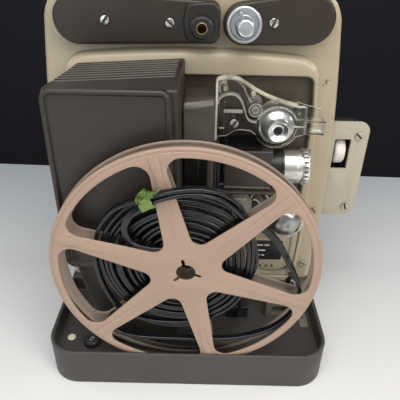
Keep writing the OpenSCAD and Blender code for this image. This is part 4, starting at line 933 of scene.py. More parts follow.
def gate_house():
    poly = fillet_profile([(2.4, 95), (2.4, 206), (-34, 206), (-34, 95)], [1.8, 1.8, 6.5, 1.8], 9)
    ob = mesh_obj("gate_house", [slab_x(poly, -4.9, 16, 1.4, 5)], M["gate"])
    cut(ob, [box_part(-2, -30, 90, 14, 8, 188, 0.05)])
    cut(ob, [lathe([(0, -6), (11, -6), (11, 20), (0, 20)], (0, -14, 153.3), "x", 48, False)])
    for v in ob.data.vertices:                            # front turned to the right towards the top
        x, y, z = v.co / MM
        v.co.y += 7.5 * MM * max(0.0, min(1.0, (x + 4.9) / 20.9)) * max(0.0, min(1.0, (-y - 20) / 14)) * max(0.0, min(1.0, (z - 95) / 105))
    finish_mesh(ob.data, 40)
    put(ob, "root", "dark_paint", "gate_housing")
    lines = [box_part(5.4, -33.4, 139, 5.8, -30.4, 167, 0.12), box_part(-3.6, -33.8, 145.2, 3.6, -31, 146.0, 0.15), box_part(3.1, -33.6, 139.5, 3.6, -31, 145.4, 0.12)]
    put(mesh_obj("gate_bracket", lines, M["bracket"], 34), "root", "dark_paint")
gate_house()

# ------------------------------------------------------------------ film path
UX, UZ = 58.4, 185.8
def film_guide():
    parts, mats = [], []
    def add(part, flat=None, side=None, axis=1):
        a, b = split(part, axis)
        parts.extend((a, b)); mats.extend((flat or M["clear"], side or M["edge"]))
    top = smooth_line([(16.3, 217.3), (17.2, 218.5), (19.6, 219.4), (22.6, 219.9), (26, 220.1), (29.2, 219.7), (32, 218.6), (34.6, 217.0), (38.6, 214.4), (42, 212.4), (45.8, 210.4), (49.6, 208.5), (53.8, 206.8), (58.6, 205.1), (63.5, 203.6), (67.4, 202.6), (71.2, 201.9)], 2)
    low = [(x - 0.1, z - 1.55) for x, z in top]
    outer = [(17.7, 176.2), (18.5, 178.8), (24.4, 179.4), (30, 183.4), (34.5, 184.1), (40.4, 183.2), (44.6, 180.4)] + arc(UX, UZ, 14.8, 204, 334, 26) + [(76.9, 181), (77.3, 190.6), (76.9, 200.6), (71.4, 200.2)] + [(x, z - 0.06) for x, z in low[::-1] if 18.2 < x < 71] + [(17.7, 216)]
    V, F = plate2d([outer, arc(UX, UZ, 13.5, 0, 360, 48)[:-1], arc(29.2, 188.8, 1.6, 0, 360, 16)[:-1]], 2.0, 0.12, 1)
    a, b = split(to_xz((V, F), -21.4))
    near = [all(abs(hypot(b[0][k][0] - UX, b[0][k][2] - UZ) - 13.5) < 0.5 for k in q) for q in b[1]]
    parts += [a, (b[0], [q for q, m in zip(b[1], near) if m]), (b[0], [q for q, m in zip(b[1], near) if not m])]
    mats += [M["clear"], M["clear"], M["edge"]]
    # frosted top flange, bright left wall
    fl = slab(low + top[::-1], -22.6, -17.0, 0.25, 0.25, 2)
    parts.append(fl); mats.append(M["frost"])
    add(slab([(16.25, 176), (17.65, 176), (17.65, 216.4), (16.9, 217.2), (16.25, 216.4)], -22.5, -15.2, 0.15, 0.15, 2), M["edge"], M["edge"])
    # arched ribs of the film channel
    r1 = smooth_line([(19.6, 208.6), (18.9, 211.0), (19.0, 213.8), (20.6, 216.3), (24.2, 217.7), (28.7, 217.3), (31.9, 215.4), (34.5, 212.2), (37.2, 206.8), (40.2, 202.2)])
    r2 = smooth_line([(18.0, 201.0), (19.0, 204.7), (23.2, 207.3), (27.9, 207.5), (31.1, 206.0), (33.6, 202.8), (36.2, 196.4), (38.2, 191.2), (41.2, 189.0), (44.6, 188.7)])
    add(slab(strip(r1, 0.75), -20.3, -16.4, 0.12, 0.12, 1), M["edge"], M["edge"])
    add(slab(strip(r2, 0.9), -20.3, -15.6, 0.12, 0.12, 1), M["edge"], M["edge"])
    # lead-in slot at the left, light bar, frame round the exit roller
    for q in ([(19.0, 184), (19.0, 202)], [(22.6, 184.4), (22.6, 202.4)], [(19.0, 184), (22.8, 184)]):
        add(slab(strip(q, 0.45), -20.3, -17.6, 0.08, 0.08, 1))
    add(box_part(21.8, -23.4, 196.2, 34.4, -22.5, 198.5, 0.2), M["haze"], M["haze"])
    for q in ([(67.2, 199.6), (76.3, 199.9)], [(76.3, 199.8), (76.7, 191.2)], [(76.7, 191.2), (70.6, 190.6)], [(70.6, 190.6), (67.2, 199.6)]):
        add(slab(strip(q, 0.4), -20.3, -17.4, 0.08, 0.08, 1))
    # thin sheet behind, out to the right
    V, F = plate2d([[(72, 190.4), (90.0, 190.4), (88.4, 197.6), (79.8, 199.8), (71.2, 202.2)]], 1.3, 0.12, 1)
    add(to_xz((V, F), -16.2))
    # exit block: four bars between two thin plates
    for z0, z1 in ((181.0, 181.7), (189.6, 190.4)):
        add(box_part(77.5, -22.5, z0, 91.2, -12.4, z1, 0.2), M["edge"], M["clear"], 0)
    for x0, x1 in ((77.5, 78.4), (90.4, 91.2)):
        add(box_part(x0, -22.5, 181.8, x1, -12.4, 189.5, 0.2), M["edge"], M["clear"], 0)
    add(box_part(82.6, -20.4, 182.4, 89.4, -14, 184.4, 0.15), M["frost"], M["edge"], 2)
    add(box_part(69.4, -21.9, 186.2, 77.3, -20.9, 187.2, 0.15), M["frost"], M["edge"], 2)
    # rim behind the sprocket knob, posts, stub, screw boss
    hood = [(r * cos(radians(a)), y, r * sin(radians(a))) for a in range(20, 161, 5) for r, y in ((13.6, -20.2), (14.6, -20.2), (14.6, -9), (13.6, -9))]
    rings = [[(UX + p[0], p[1], UZ + p[2]) for p in hood[i:i + 4]] for i in range(0, len(hood), 4)]
    add(loft(rings), M["edge"], M["haze"])
    for x, z, r, ya in ((43.2, 197, 1.4, -20.3), (72.6, 195.6, 1.4, -20.3), (22.8, 211.4, 1.7, -19.8), (40.6, 209.6, 1.6, -24.2)):
        yb = 2.4 if r < 1.5 else -8.0
        parts.append(lathe([(0, yb), (r, yb), (r, ya + 0.3), (r - 0.3, ya), (r * 0.45, ya), (r * 0.4, ya + 0.6), (0, ya + 0.6)], (x, 0, z), "y", 24, False)); mats.append(M["frost"])
    parts.append(lathe([(1.6, 2.4), (3.0, 2.4), (3.0, -20.3), (1.6, -20.3)], (29.2, 0, 188.8), "y", 32)); mats.append(M["clear"])
    put(mesh_obj("film_guide", parts, mats, 30), "root", "clear_plastic", "upper_film_guide")
    # rollers
    c = (43.2, 0, 197)
    body = lathe([(1.55, -5), (5.0, -5), (5.2, -5.25), (5.2, -7.8), (4.6, -8.0), (4.6, -18.6), (1.55, -18.6)], c, "y", 48)
    rims = [lathe([(r0, -18.55), (r1, -18.55), (r1, -19.45), (r1 - 0.15, -19.6), (r0 + 0.15, -19.6), (r0, -19.45)], c, "y", 48) for r0, r1 in ((3.95, 4.6), (1.6, 2.4))]
    put(mesh_obj("film_roller", [body] + rims, [M["haze"], M["edge"], M["edge"]], 30), "roller_a", "clear_plastic", "guide_roller")
    ex = [(1.55, -4), (3.5, -4), (3.8, -4.3), (3.8, -19.1), (3.5, -19.6), (2.9, -19.6), (2.7, -19.2), (2.1, -19.2), (1.9, -19.6), (1.55, -19.4)]
    put(mesh_obj("film_exit_roller", [lathe(ex, (72.6, 0, 195.6), "y", 40)], M["roller"], 30), "roller_b", "black_plastic", "exit_roller")
film_guide()

def toothed(r, teeth, depth, cx, cz, width=0.5):
    P = []
    for i in range(teeth):
        a = 360 / teeth * i
        w = 360 / teeth * width
        for k, rr in ((-0.5, r - depth), (-0.42, r), (0.42, r), (0.5, r - depth)):
            P.append((cx + rr * cos(radians(a + w * k)), cz + rr * sin(radians(a + w * k))))
    return P

def sprockets():
    drum = lambda x, z: slab(toothed(9.7, 24, 0.8, x, z), -13.9, -6.1, 0.1, 0.1, 1)
    dome = [(12.6, -14.0), (12.9, -14.3), (12.9, -18.2), (12.75, -19.2), (12.4, -20.3), (11.8, -21.4), (11.0, -22.4), (10.1, -23.3), (9.1, -24.2), (8.3, -25.0)]
    nose = [(7.85, -25.6), (7.7, -26.4), (7.55, -28.8), (7.4, -29.6), (7.05, -30.15), (6.6, -30.3), (3.5, -28.5), (3.2, -28.1), (2.95, -25), (0, -25)]
    body = [(0, 24), (3, 24), (3, -4), (10.8, -4), (11, -4.2), (11, -5.8), (10.8, -6), (8.8, -6), (8.8, -13.98)]
    put(mesh_obj("sprocket_upper", [lathe(body + dome + nose, (UX, 0, UZ), "y", 96, False), drum(UX, UZ), lathe([(0, -25.6), (2.85, -25.6), (2.85, -25.1), (0, -25.1)], (UX, 0, UZ), "y", 32, False)], [M["dome"], M["dome"], M["black"]], 34),
        "upper_drive", "chrome", "upper_sprocket")
    low = [(11, -14), (11, -15)] + [(3 + 8 * cos(radians(a)), -15 - 5 * sin(radians(a))) for a in range(8, 90, 8)] + [(2.6, -20.02), (2.4, -19.7), (0.0, -19.5)]
    put(mesh_obj("sprocket_lower", [lathe(body + low, (74, 0, 104.4), "y", 96, False), drum(74, 104.4)], [M["smoke"], M["dome"]], 34), "lower_drive", "chrome", "lower_sprocket")
sprockets()

def lens():
    ly, lz = -14, 153.3
    bar = [(9.4, 30), (11.45, 30), (11.45, 66.3), (12.2, 66.3), (12.5, 66.6), (12.5, 75.2), (12.1, 75.45), (12.1, 75.85), (12.5, 76.1), (12.5, 77.4), (12.3, 77.55), (12.5, 77.7), (12.5, 78.6), (10.9, 78.8), (10.9, 80.1), (10.4, 80.1), (10.4, 79), (10.4, 74), (9.4, 74)]
    put(mesh_obj("lens_tube", [lathe(bar, (0, ly, lz), "x", 128)], M["satin"], 30), "lens", "aluminium", "lens_barrel")
    V, F = plate2d([toothed(13.4, 24, 1.5, 0, 0, 0.70), arc(0, 0, 9.6, 0, 360, 64)[:-1]], 3.4, 0.15, 1)
    # painted shade: gap floors and walls between the crown teeth take a darker material than the aluminium
    gap = [max(hypot(V[k][0], V[k][1]) for k in q) < 12.3 and min(hypot(V[k][0], V[k][1]) for k in q) > 11.0 or (max(V[k][2] for k in q) - min(V[k][2] for k in q) > 2 and 0.8 < max(hypot(V[k][0], V[k][1]) for k in q) - min(hypot(V[k][0], V[k][1]) for k in q) < 2.5) for q in F]
    W = [(81.9 - t, ly + a, lz + b) for a, b, t in V]
    ring, gaps = (W, [q for q, g in zip(F, gap) if not g]), (W, [q for q, g in zip(F, gap) if g])
    lip = lathe([(9.5, 83.4), (12.5, 83.4), (12.4, 84.0), (12.0, 84.55), (11.6, 84.8), (11.2, 84.8), (10.9, 84.4), (9.6, 83.6)], (0, ly, lz), "x", 96)
    put(mesh_obj("lens_crown", [ring, gaps, lip], [M["satin"], M["gap"], M["satin"]], 30), "lens", "aluminium", "lens_ring")
    col = [(11.5, 57), (12.7, 57), (13, 57.3), (13, 63.4), (12.5, 63.6), (12.5, 64.3), (13, 64.5), (13, 65.7), (12.7, 66), (11.5, 66)]
    poly = fillet_profile([(2.5, 139), (2.5, 170.6), (-28, 170.6), (-28, 139)], [1.2, 1.2, 1.2, 1.2], 5)
    ob = mesh_obj("lens_block", [slab_x(poly, 24, 57, 0.7, 4)], M["shelf"])
    cut(ob, [lathe([(0, 20), (11.5, 20), (11.5, 64), (0, 64)], (0, ly, lz), "x", 64, False)])
    for py, pz in ((-25, 143), (-3, 164)):
        cut(ob, [lathe([(0, 20), (1.1, 20), (1.1, 31), (0, 31)], (0, py, pz), "x", 20, False)])
    # the last strip, under the lens carrier, carries a painted highlight: a lighter paint than the carrier
    put(mesh_obj("lens_mount", [grab(ob), box_part(24.1, -31, 138.2, 64.9, 2.4, 139.9, 0.35), box_part(24, -6, 131, 30, 2.5, 138.4, 0.3), box_part(24.2, -29.4, 142.2, 56.8, -27.9, 143.4, 0.3)], [M["shelf"], M["shelf"], M["shelf"], M["lip"]], 36), "root", "dark_paint", "lens_carrier")
    put(mesh_obj("lens_sleeve", [lathe(col, (0, ly, lz), "x", 96)], M["black"], 30), "root", "black_plastic", "lens_collar")
lens()

# ------------------------------------------------------------------ arms, spindles and screws
def screw(x, z, yf, r, h, turn):
    s = -radians(turn)
    g = 0.22 * r
    a0 = math.degrees(math.asin(g / r))
    # the head disc shows through the slot, and its darker material is painted shade in the slot
    parts = [lathe([(0, yf + 2.6), (r * 0.45, yf + 2.6), (r * 0.45, yf + 0.02), (r - 0.1, yf + 0.02), (r, yf - 0.1), (r, yf - 0.5), (r - 0.1, yf - 0.6), (0, yf - 0.6)], (x, 0, z), "y", 32, False)]
    for k in (0, 180):
        seg = [(r * 0.985 * cos(radians(a)), r * 0.985 * sin(radians(a))) for a in [a0 + 1 + (178 - 2 * a0) * i / 14 for i in range(15)]]
        w = s + radians(k)
        P = [(x + u * cos(w) - v * sin(w), z + u * sin(w) + v * cos(w)) for u, v in seg]
        parts.append(slab(P, yf - h, yf - 0.55, 0.42, 0.05, 3))
    return parts

def screws():
    S = [screw(100.3, 103.6, 6, 3.2, 1.5, 60), screw(98.6, 48.2, 6, 3.2, 1.5, 25), screw(-100.3, 103.6, 6, 3.2, 1.5, 10), screw(-98.6, 48.2, 6, 3.2, 1.5, 80), screw(129.6, 164.6, 18, 3, 1.4, 40), screw(129.6, 101, 18, 3, 1.4, 75)]
    bx, by, bz = -75.5, -62.5, 21.8
    b = screw(0, 0, 0, 2.4, 1.6, 20)
    S.append([([(bx + p[0], by + p[2], bz - p[1]) for p in V], F) for V, F in b])
    put(mesh_obj("case_screws", [p for q in S for p in q], [M["slot_paint"], M["screw_paint"], M["screw_paint"]] * 4 + [M["slot"], M["aged"], M["aged"]] * 3, 34), "root", "steel", "casing_screws")
    put(mesh_obj("arm_screws_rear", screw(-55.7, 250, -5, 3, 1.5, -55) + screw(-14.2, 249, -5, 3, 1.5, 40), [M["slot"], M["screw"], M["screw"]] * 2, 34), "rear_reel_arm", "steel", "rear_arm_screws")
    put(mesh_obj("arm_screw_front", screw(52.2, 250.2, -5, 3, 1.5, -65), [M["slot"], M["screw"], M["screw"]], 34), "front_reel_arm", "steel", "front_arm_screw")
    put(mesh_obj("guide_screw", screw(29.2, 188.8, -22.45, 3, 1.5, -50), [M["slot"], M["screw"], M["screw"]], 34), "root", "steel", "guide_screws")
screws()

def paint_chip():
    parts = [slab(strip(smooth_line(q), w), 5.86, 6.1, 0.04, 0.02, 1) for q, w in (([(94.0, 211.6), (94.5, 209.6), (94.9, 208.4)], 1.1), ([(94.5, 209.8), (96.0, 210.6), (97.6, 211.6)], 0.45), ([(94.3, 209.0), (92.9, 207.9), (91.9, 206.6)], 0.5))]
    put(mesh_obj("paint_chip", parts, M["chip"], 34), "root", "casing_paint")
paint_chip()

def bores(ob, *holes):
    for x, z, r, y0, y1 in holes:
        cut(ob, [lathe([(0, y0), (r, y0), (r, y1), (0, y1)], (x, 0, z), "y", 40, False)])
    return ob

def arms():
    rx, rz, fx, fz, sx, sz, tx, tz = -73.5, 250.4, 75.8, 252.2, 6.3, 247.0, 33.3, 248.6
    a = slab(hull2(arc(rx, rz, 16.2, 0, 360, 72) + rrect(-30, 236.2, 18, 262.2, 6, 8)), -5, 4, 2.2, 0.8, 6)
    ob = bores(mesh_obj("arm_a", [a], M["arm"]), (sx, sz, 5.06, -14, 12), (-55.7, 250, 1.6, -8, 0), (-14.2, 249, 1.6, -8, 0), (rx, rz, 4.06, -1.8, 12))
    end = [p for p in arc(20.6, 249.2, 26.2, 140, 220, 40) if 237.4 < p[1] < 261.2] + rrect(2, 236.6, 17.8, 261.8, 6, 8)
    eb = bores(mesh_obj("arm_b", [slab(hull2(end), -7.4, -4.2, 1.7, 0.2, 5)], M["arm"]), (sx, sz, 5.06, -14, 12))
    put(mesh_obj("reel_arm_rear", [grab(ob), grab(eb)], [M["arm"], M["arm_end"]], 40), "rear_reel_arm", "dark_paint", "rear_arm")
    f = slab(hull2(arc(fx, fz, 16, 0, 360, 72) + arc(tx, tz, 13.2, 0, 360, 60)), -5, 4, 2.2, 0.8, 6)
    ob = bores(mesh_obj("arm_c", [f], M["arm"]), (tx, tz, 3.06, -14, 12), (52.2, 250.2, 1.6, -8, 0), (fx, fz, 4.06, -1.8, 12))
    put(mesh_obj("reel_arm_front", [grab(ob)], M["arm"], 40), "front_reel_arm", "dark_paint", "front_arm")
    boss = [(3.65, 3.6), (4.7, 3.6), (5, 3.3), (5, -7.6), (7.3, -7.7), (7.6, -7.95), (7.6, -10.0), (7.3, -10.45), (6.5, -10.65), (6.2, -10.9), (6.2, -11.6), (5.85, -12), (4.3, -12), (3.65, -11.9)]
    put(mesh_obj("boss_rear", [lathe(boss, (sx, 0, sz), "y", 64)], M["black"], 30), "rear_hub", "black_plastic", "rear_spindle_boss")
    bush = [(2.5, 3.4), (3.6, 3.4), (3.6, -11.9), (3.75, -12.05), (3.7, -12.5), (3.5, -12.7), (3.1, -12.7), (2.8, -12.2)]
    put(mesh_obj("bush_rear", [lathe(bush, (sx, 0, sz), "y", 48)], M["brass"], 30), "rear_hub", "brass", "rear_spindle_bush")
    sp = [(0, 3.6), (2.8, 3.6), (3, 3.4), (3, -5.28), (11.2, -5.3), (11.6, -5.6), (11.6, -6.5), (11.3, -7.0), (10.8, -7.3), (10.2, -7.5), (9.4, -7.5), (9.0, -7.2), (8.7, -6.7), (8.2, -6.5), (6.3, -6.5), (5.9, -6.8), (5.75, -7.3), (5.75, -12.9), (6.0, -13.1), (6.0, -18.6), (5.85, -19.4), (5.4, -20.1), (4.7, -20.6), (4.2, -20.75), (3.9, -20.6), (3.7, -20.55), (0, -20.55)]
    c, s = cos(radians(24)), sin(radians(24))
    key = box_part(0, -11.2, 0, 2, -7.4, 3.6, 0.35)
    key = ([(tx - 2.6 + p[0] * c - p[2] * s, p[1], tz + 4.8 + p[0] * s + p[2] * c) for p in key[0]], key[1])
    put(mesh_obj("spindle_front", [lathe(sp, (tx, 0, tz), "y", 96, False), key], M["spindle"], 34), "front_hub", "chrome", "front_spindle")
arms()

# ------------------------------------------------------------------ control panel
def lower_guide():
    parts, mats = [], []
    def add(part, flat="clear", side="edge", axis=1):
        a, b = split(part, axis)
        parts.extend((a, b)); mats.extend((M[flat], M[side]))
    V, F = plate2d([[(32.5, 117), (46, 117), (55, 110), (61.4, 95), (62, 93), (85.6, 93), (85.6, 118.4), (66, 121), (52, 130), (32.5, 129)], arc(74, 104.4, 12.4, 0, 360, 48)[:-1]], 1.4, 0.1, 1)
    add(to_xz((V, F), 1.6))
    for x0, y0, z0, x1, y1, z1 in ((31.6, -23.9, 119.1, 45.4, -21.7, 129.5), (43.5, -21.6, 119.1, 45.4, 2.3, 129.5), (31.6, -21.6, 119.1, 43.4, 2.3, 120.9)):
        add(box_part(x0, y0, z0, x1, y1, z1, 0.3), "haze", "edge")
    add(box_part(29.6, -23.9, 129.4, 42.8, -12, 137.4, 0.5), "haze", "edge")
    # painted highlight: a thin frosted strip on the block's front stands in for a glint
    add(box_part(31.4, -24.4, 129.9, 41.4, -23.8, 131.3, 0.2), "frost", "frost")
    arch = smooth_line([(44.6, 126.2), (46.0, 131.4), (49.8, 134.8), (54.2, 133.8), (57.4, 129.8), (59.2, 125.6)])
    add(slab(strip(arch, 1.1), -20.4, -6, 0.15, 0.15, 1), "edge", "haze")
    wall = smooth_line([(47.6, 124.2), (50.2, 124.0), (54.2, 119.6), (57.6, 114.4), (59.2, 111.8)])
    add(slab(strip(wall, 1.5), -14.4, 2.3, 0.15, 0.15, 1), "edge", "haze")
    hood = []
    for a in range(-118, 66, 6):
        hood.append([(74 + r * cos(radians(a)), y, 104.4 + r * sin(radians(a))) for r, y in ((13.45, -14.3), (14.6, -14.3), (14.6, 0.2), (13.45, 0.2))])
    add(loft(hood), "edge", "clear")
    put(mesh_obj("film_guide_lower", parts, mats, 30), "root", "clear_plastic", "lower_film_guide")
lower_guide()

def inlet():
    z0 = 18.4
    ob = mesh_obj("inlet_block", [slab(rrect(66.1, z0 + 0.1, 85.9, z0 + 13, 1.5, 5), -27.8, -1.1, 0.4, 0.4, 3)], M["inlet"])
    cut(ob, [slab_z(arc(70.6, -15, 1.5, 0, 360, 20)[:-1], z0 + 8, z0 + 20, 0.02, 0.02, 1), slab_z(arc(75.4, -12, 1.5, 0, 360, 20)[:-1], z0 + 8, z0 + 20, 0.02, 0.02, 1)])
    fl = mesh_obj("inlet_flange", [slab(rrect(64.1, z0 + 0.1, 87.9, z0 + 15.4, 1.8, 5), -29.9, -27.7, 0.6, 0.2, 3)], M["inlet"])
    for ob2 in (ob, fl):
        cut(ob2, [slab(rrect(69.5, z0 + 3.5, 82.5, z0 + 11.5, 0.8, 4), -34, -18, 0.05, 0.05, 1)])
    parts, mats = [grab(ob), grab(fl)], [M["inlet"], M["inlet"]]
    for V, F in screw(0, 0, 0, 2.2, 1.2, 35):
        parts.append(([(80.6 + x, -20.4 + z, z0 + 13 - y) for x, y, z in V], F))
    mats += [M["slot"], M["screw"], M["screw"]]
    put(mesh_obj("mains_inlet", parts, mats, 34), "root", "black_plastic", "power_inlet")
inlet()

def panel():
    put(mesh_obj("panel_plate", [slab(rrect(46.4, 48.7, 78.6, 80.6, [5, 1.2, 1.2, 2], 6), -2.2, -0.9, 0.5, 0.05, 3)], M["plate"], 34), "root", "casing_paint")
    put(mesh_obj("panel_strip", [slab([(83.8, 41.4), (hw(41.4) - 19.3, 41.4), (hw(60) - 19.3, 60), (hw(86) - 19.3, 86), (83.8, 86)], -1.9, -1.05, 0.3, 0.02, 2)], M["casing"], 34), "root", "casing_paint")
    parts, mats = [slab(rrect(49.4, 58.2, 77.2, 77.8, 0.8, 3), -2.7, -2.15, 0.15, 0.02, 2)], [M["label"]]
    def dash(x, z, w, h):
        parts.append(slab(rrect(x, z, x + w, z + h, min(h, w) * 0.3, 2), -2.86, -2.68, 0.05, 0.01, 1)); mats.append(M["mark"])
    for i, (z, row) in enumerate(((72.6, (5.4, 4.2)), (67.2, (7.8,)), (62.2, (3.6, 2.4)))):     # plain ticks, no lettering
        x = 55.4
        for w in row:
            dash(x, z, w, 1.5); x += w + 1.2
    for k in range(3):
        parts.append(slab(rrect(59.2 + k * 5.1, 50.2, 61 + k * 5.1, 52.2, 0.4, 2), -2.36, -2.18, 0.05, 0.01, 1)); mats.append(M["label"])
    parts.append(slab(rrect(62, 54.4, 69, 55.3, 0.3, 2), -2.36, -2.18, 0.05, 0.01, 1)); mats.append(M["fade"])
    put(mesh_obj("panel_label", parts, mats, 34), "root", "black_plastic")
panel()

def knobs():
    kx, kz = 70 + 22.4 * cos(radians(-49)), 67 + 22.4 * sin(radians(-49))
    ball = [(0, -28.4)] + [(6.0 * sin(radians(a)), -22.4 - 6.0 * cos(radians(a))) for a in range(8, 150, 7)] + [(2.4, -16.9), (2.2, -16.0), (1.45, -13.2), (1.45, -10.4), (0, -10.4)]
    cover = arc(70, 67, 24.5, -117, -52, 24) + arc(70, 67, 20.0, -117, -52, 24)[::-1]
    put(mesh_obj("lever_slot_cover", [slab(cover, 1.62, 1.92, 0.05, 0.05, 1)], M["plate"], 34), "lever", "casing_paint")
    put(mesh_obj("lever_ball", [lathe(ball, (kx, 0, kz), "y", 56, False)], M["gloss"], 40), "lever", "gloss_black", "lever_knob")
    n = 40
    prof = [(2.05, 113.6), (9.6, 113.6), (10.6, 113.9), (11.2, 114.6), (11.5, 115.6), (11.6, 117.9), (11.5, 120.2), (11.2, 121.2), (10.6, 121.9), (9.6, 122.2), (2.05, 122.2)]
    V, F = [], []
    m = len(prof)
    for i in range(n * 4):
        a = 2 * pi * i / (n * 4)
        dip = (0.0, 0.0, 0.28, 0.28)[i % 4]
        for k, (r, t) in enumerate(prof):
            rr = r - (dip if 2 <= k <= 8 else 0)
            V.append((t, 29.5 + rr * cos(a), 148.7 + rr * sin(a)))
    for i in range(n * 4):
        for k in range(m):
            F.append((i * m + k, i * m + (k + 1) % m, ((i + 1) % (n * 4)) * m + (k + 1) % m, ((i + 1) % (n * 4)) * m + k))
    axle = lathe([(0, 109.3), (1.8, 109.3), (2, 109.5), (2, 127.8), (1.8, 128), (0, 128)], (0, 29.5, 148.7), "x", 32, False)
    put(mesh_obj("thumb_wheel", [(V, F), axle], [M["ivory"], M["steel"]], 34), "speed_wheel", "white_plastic", "thumbwheel")
knobs()

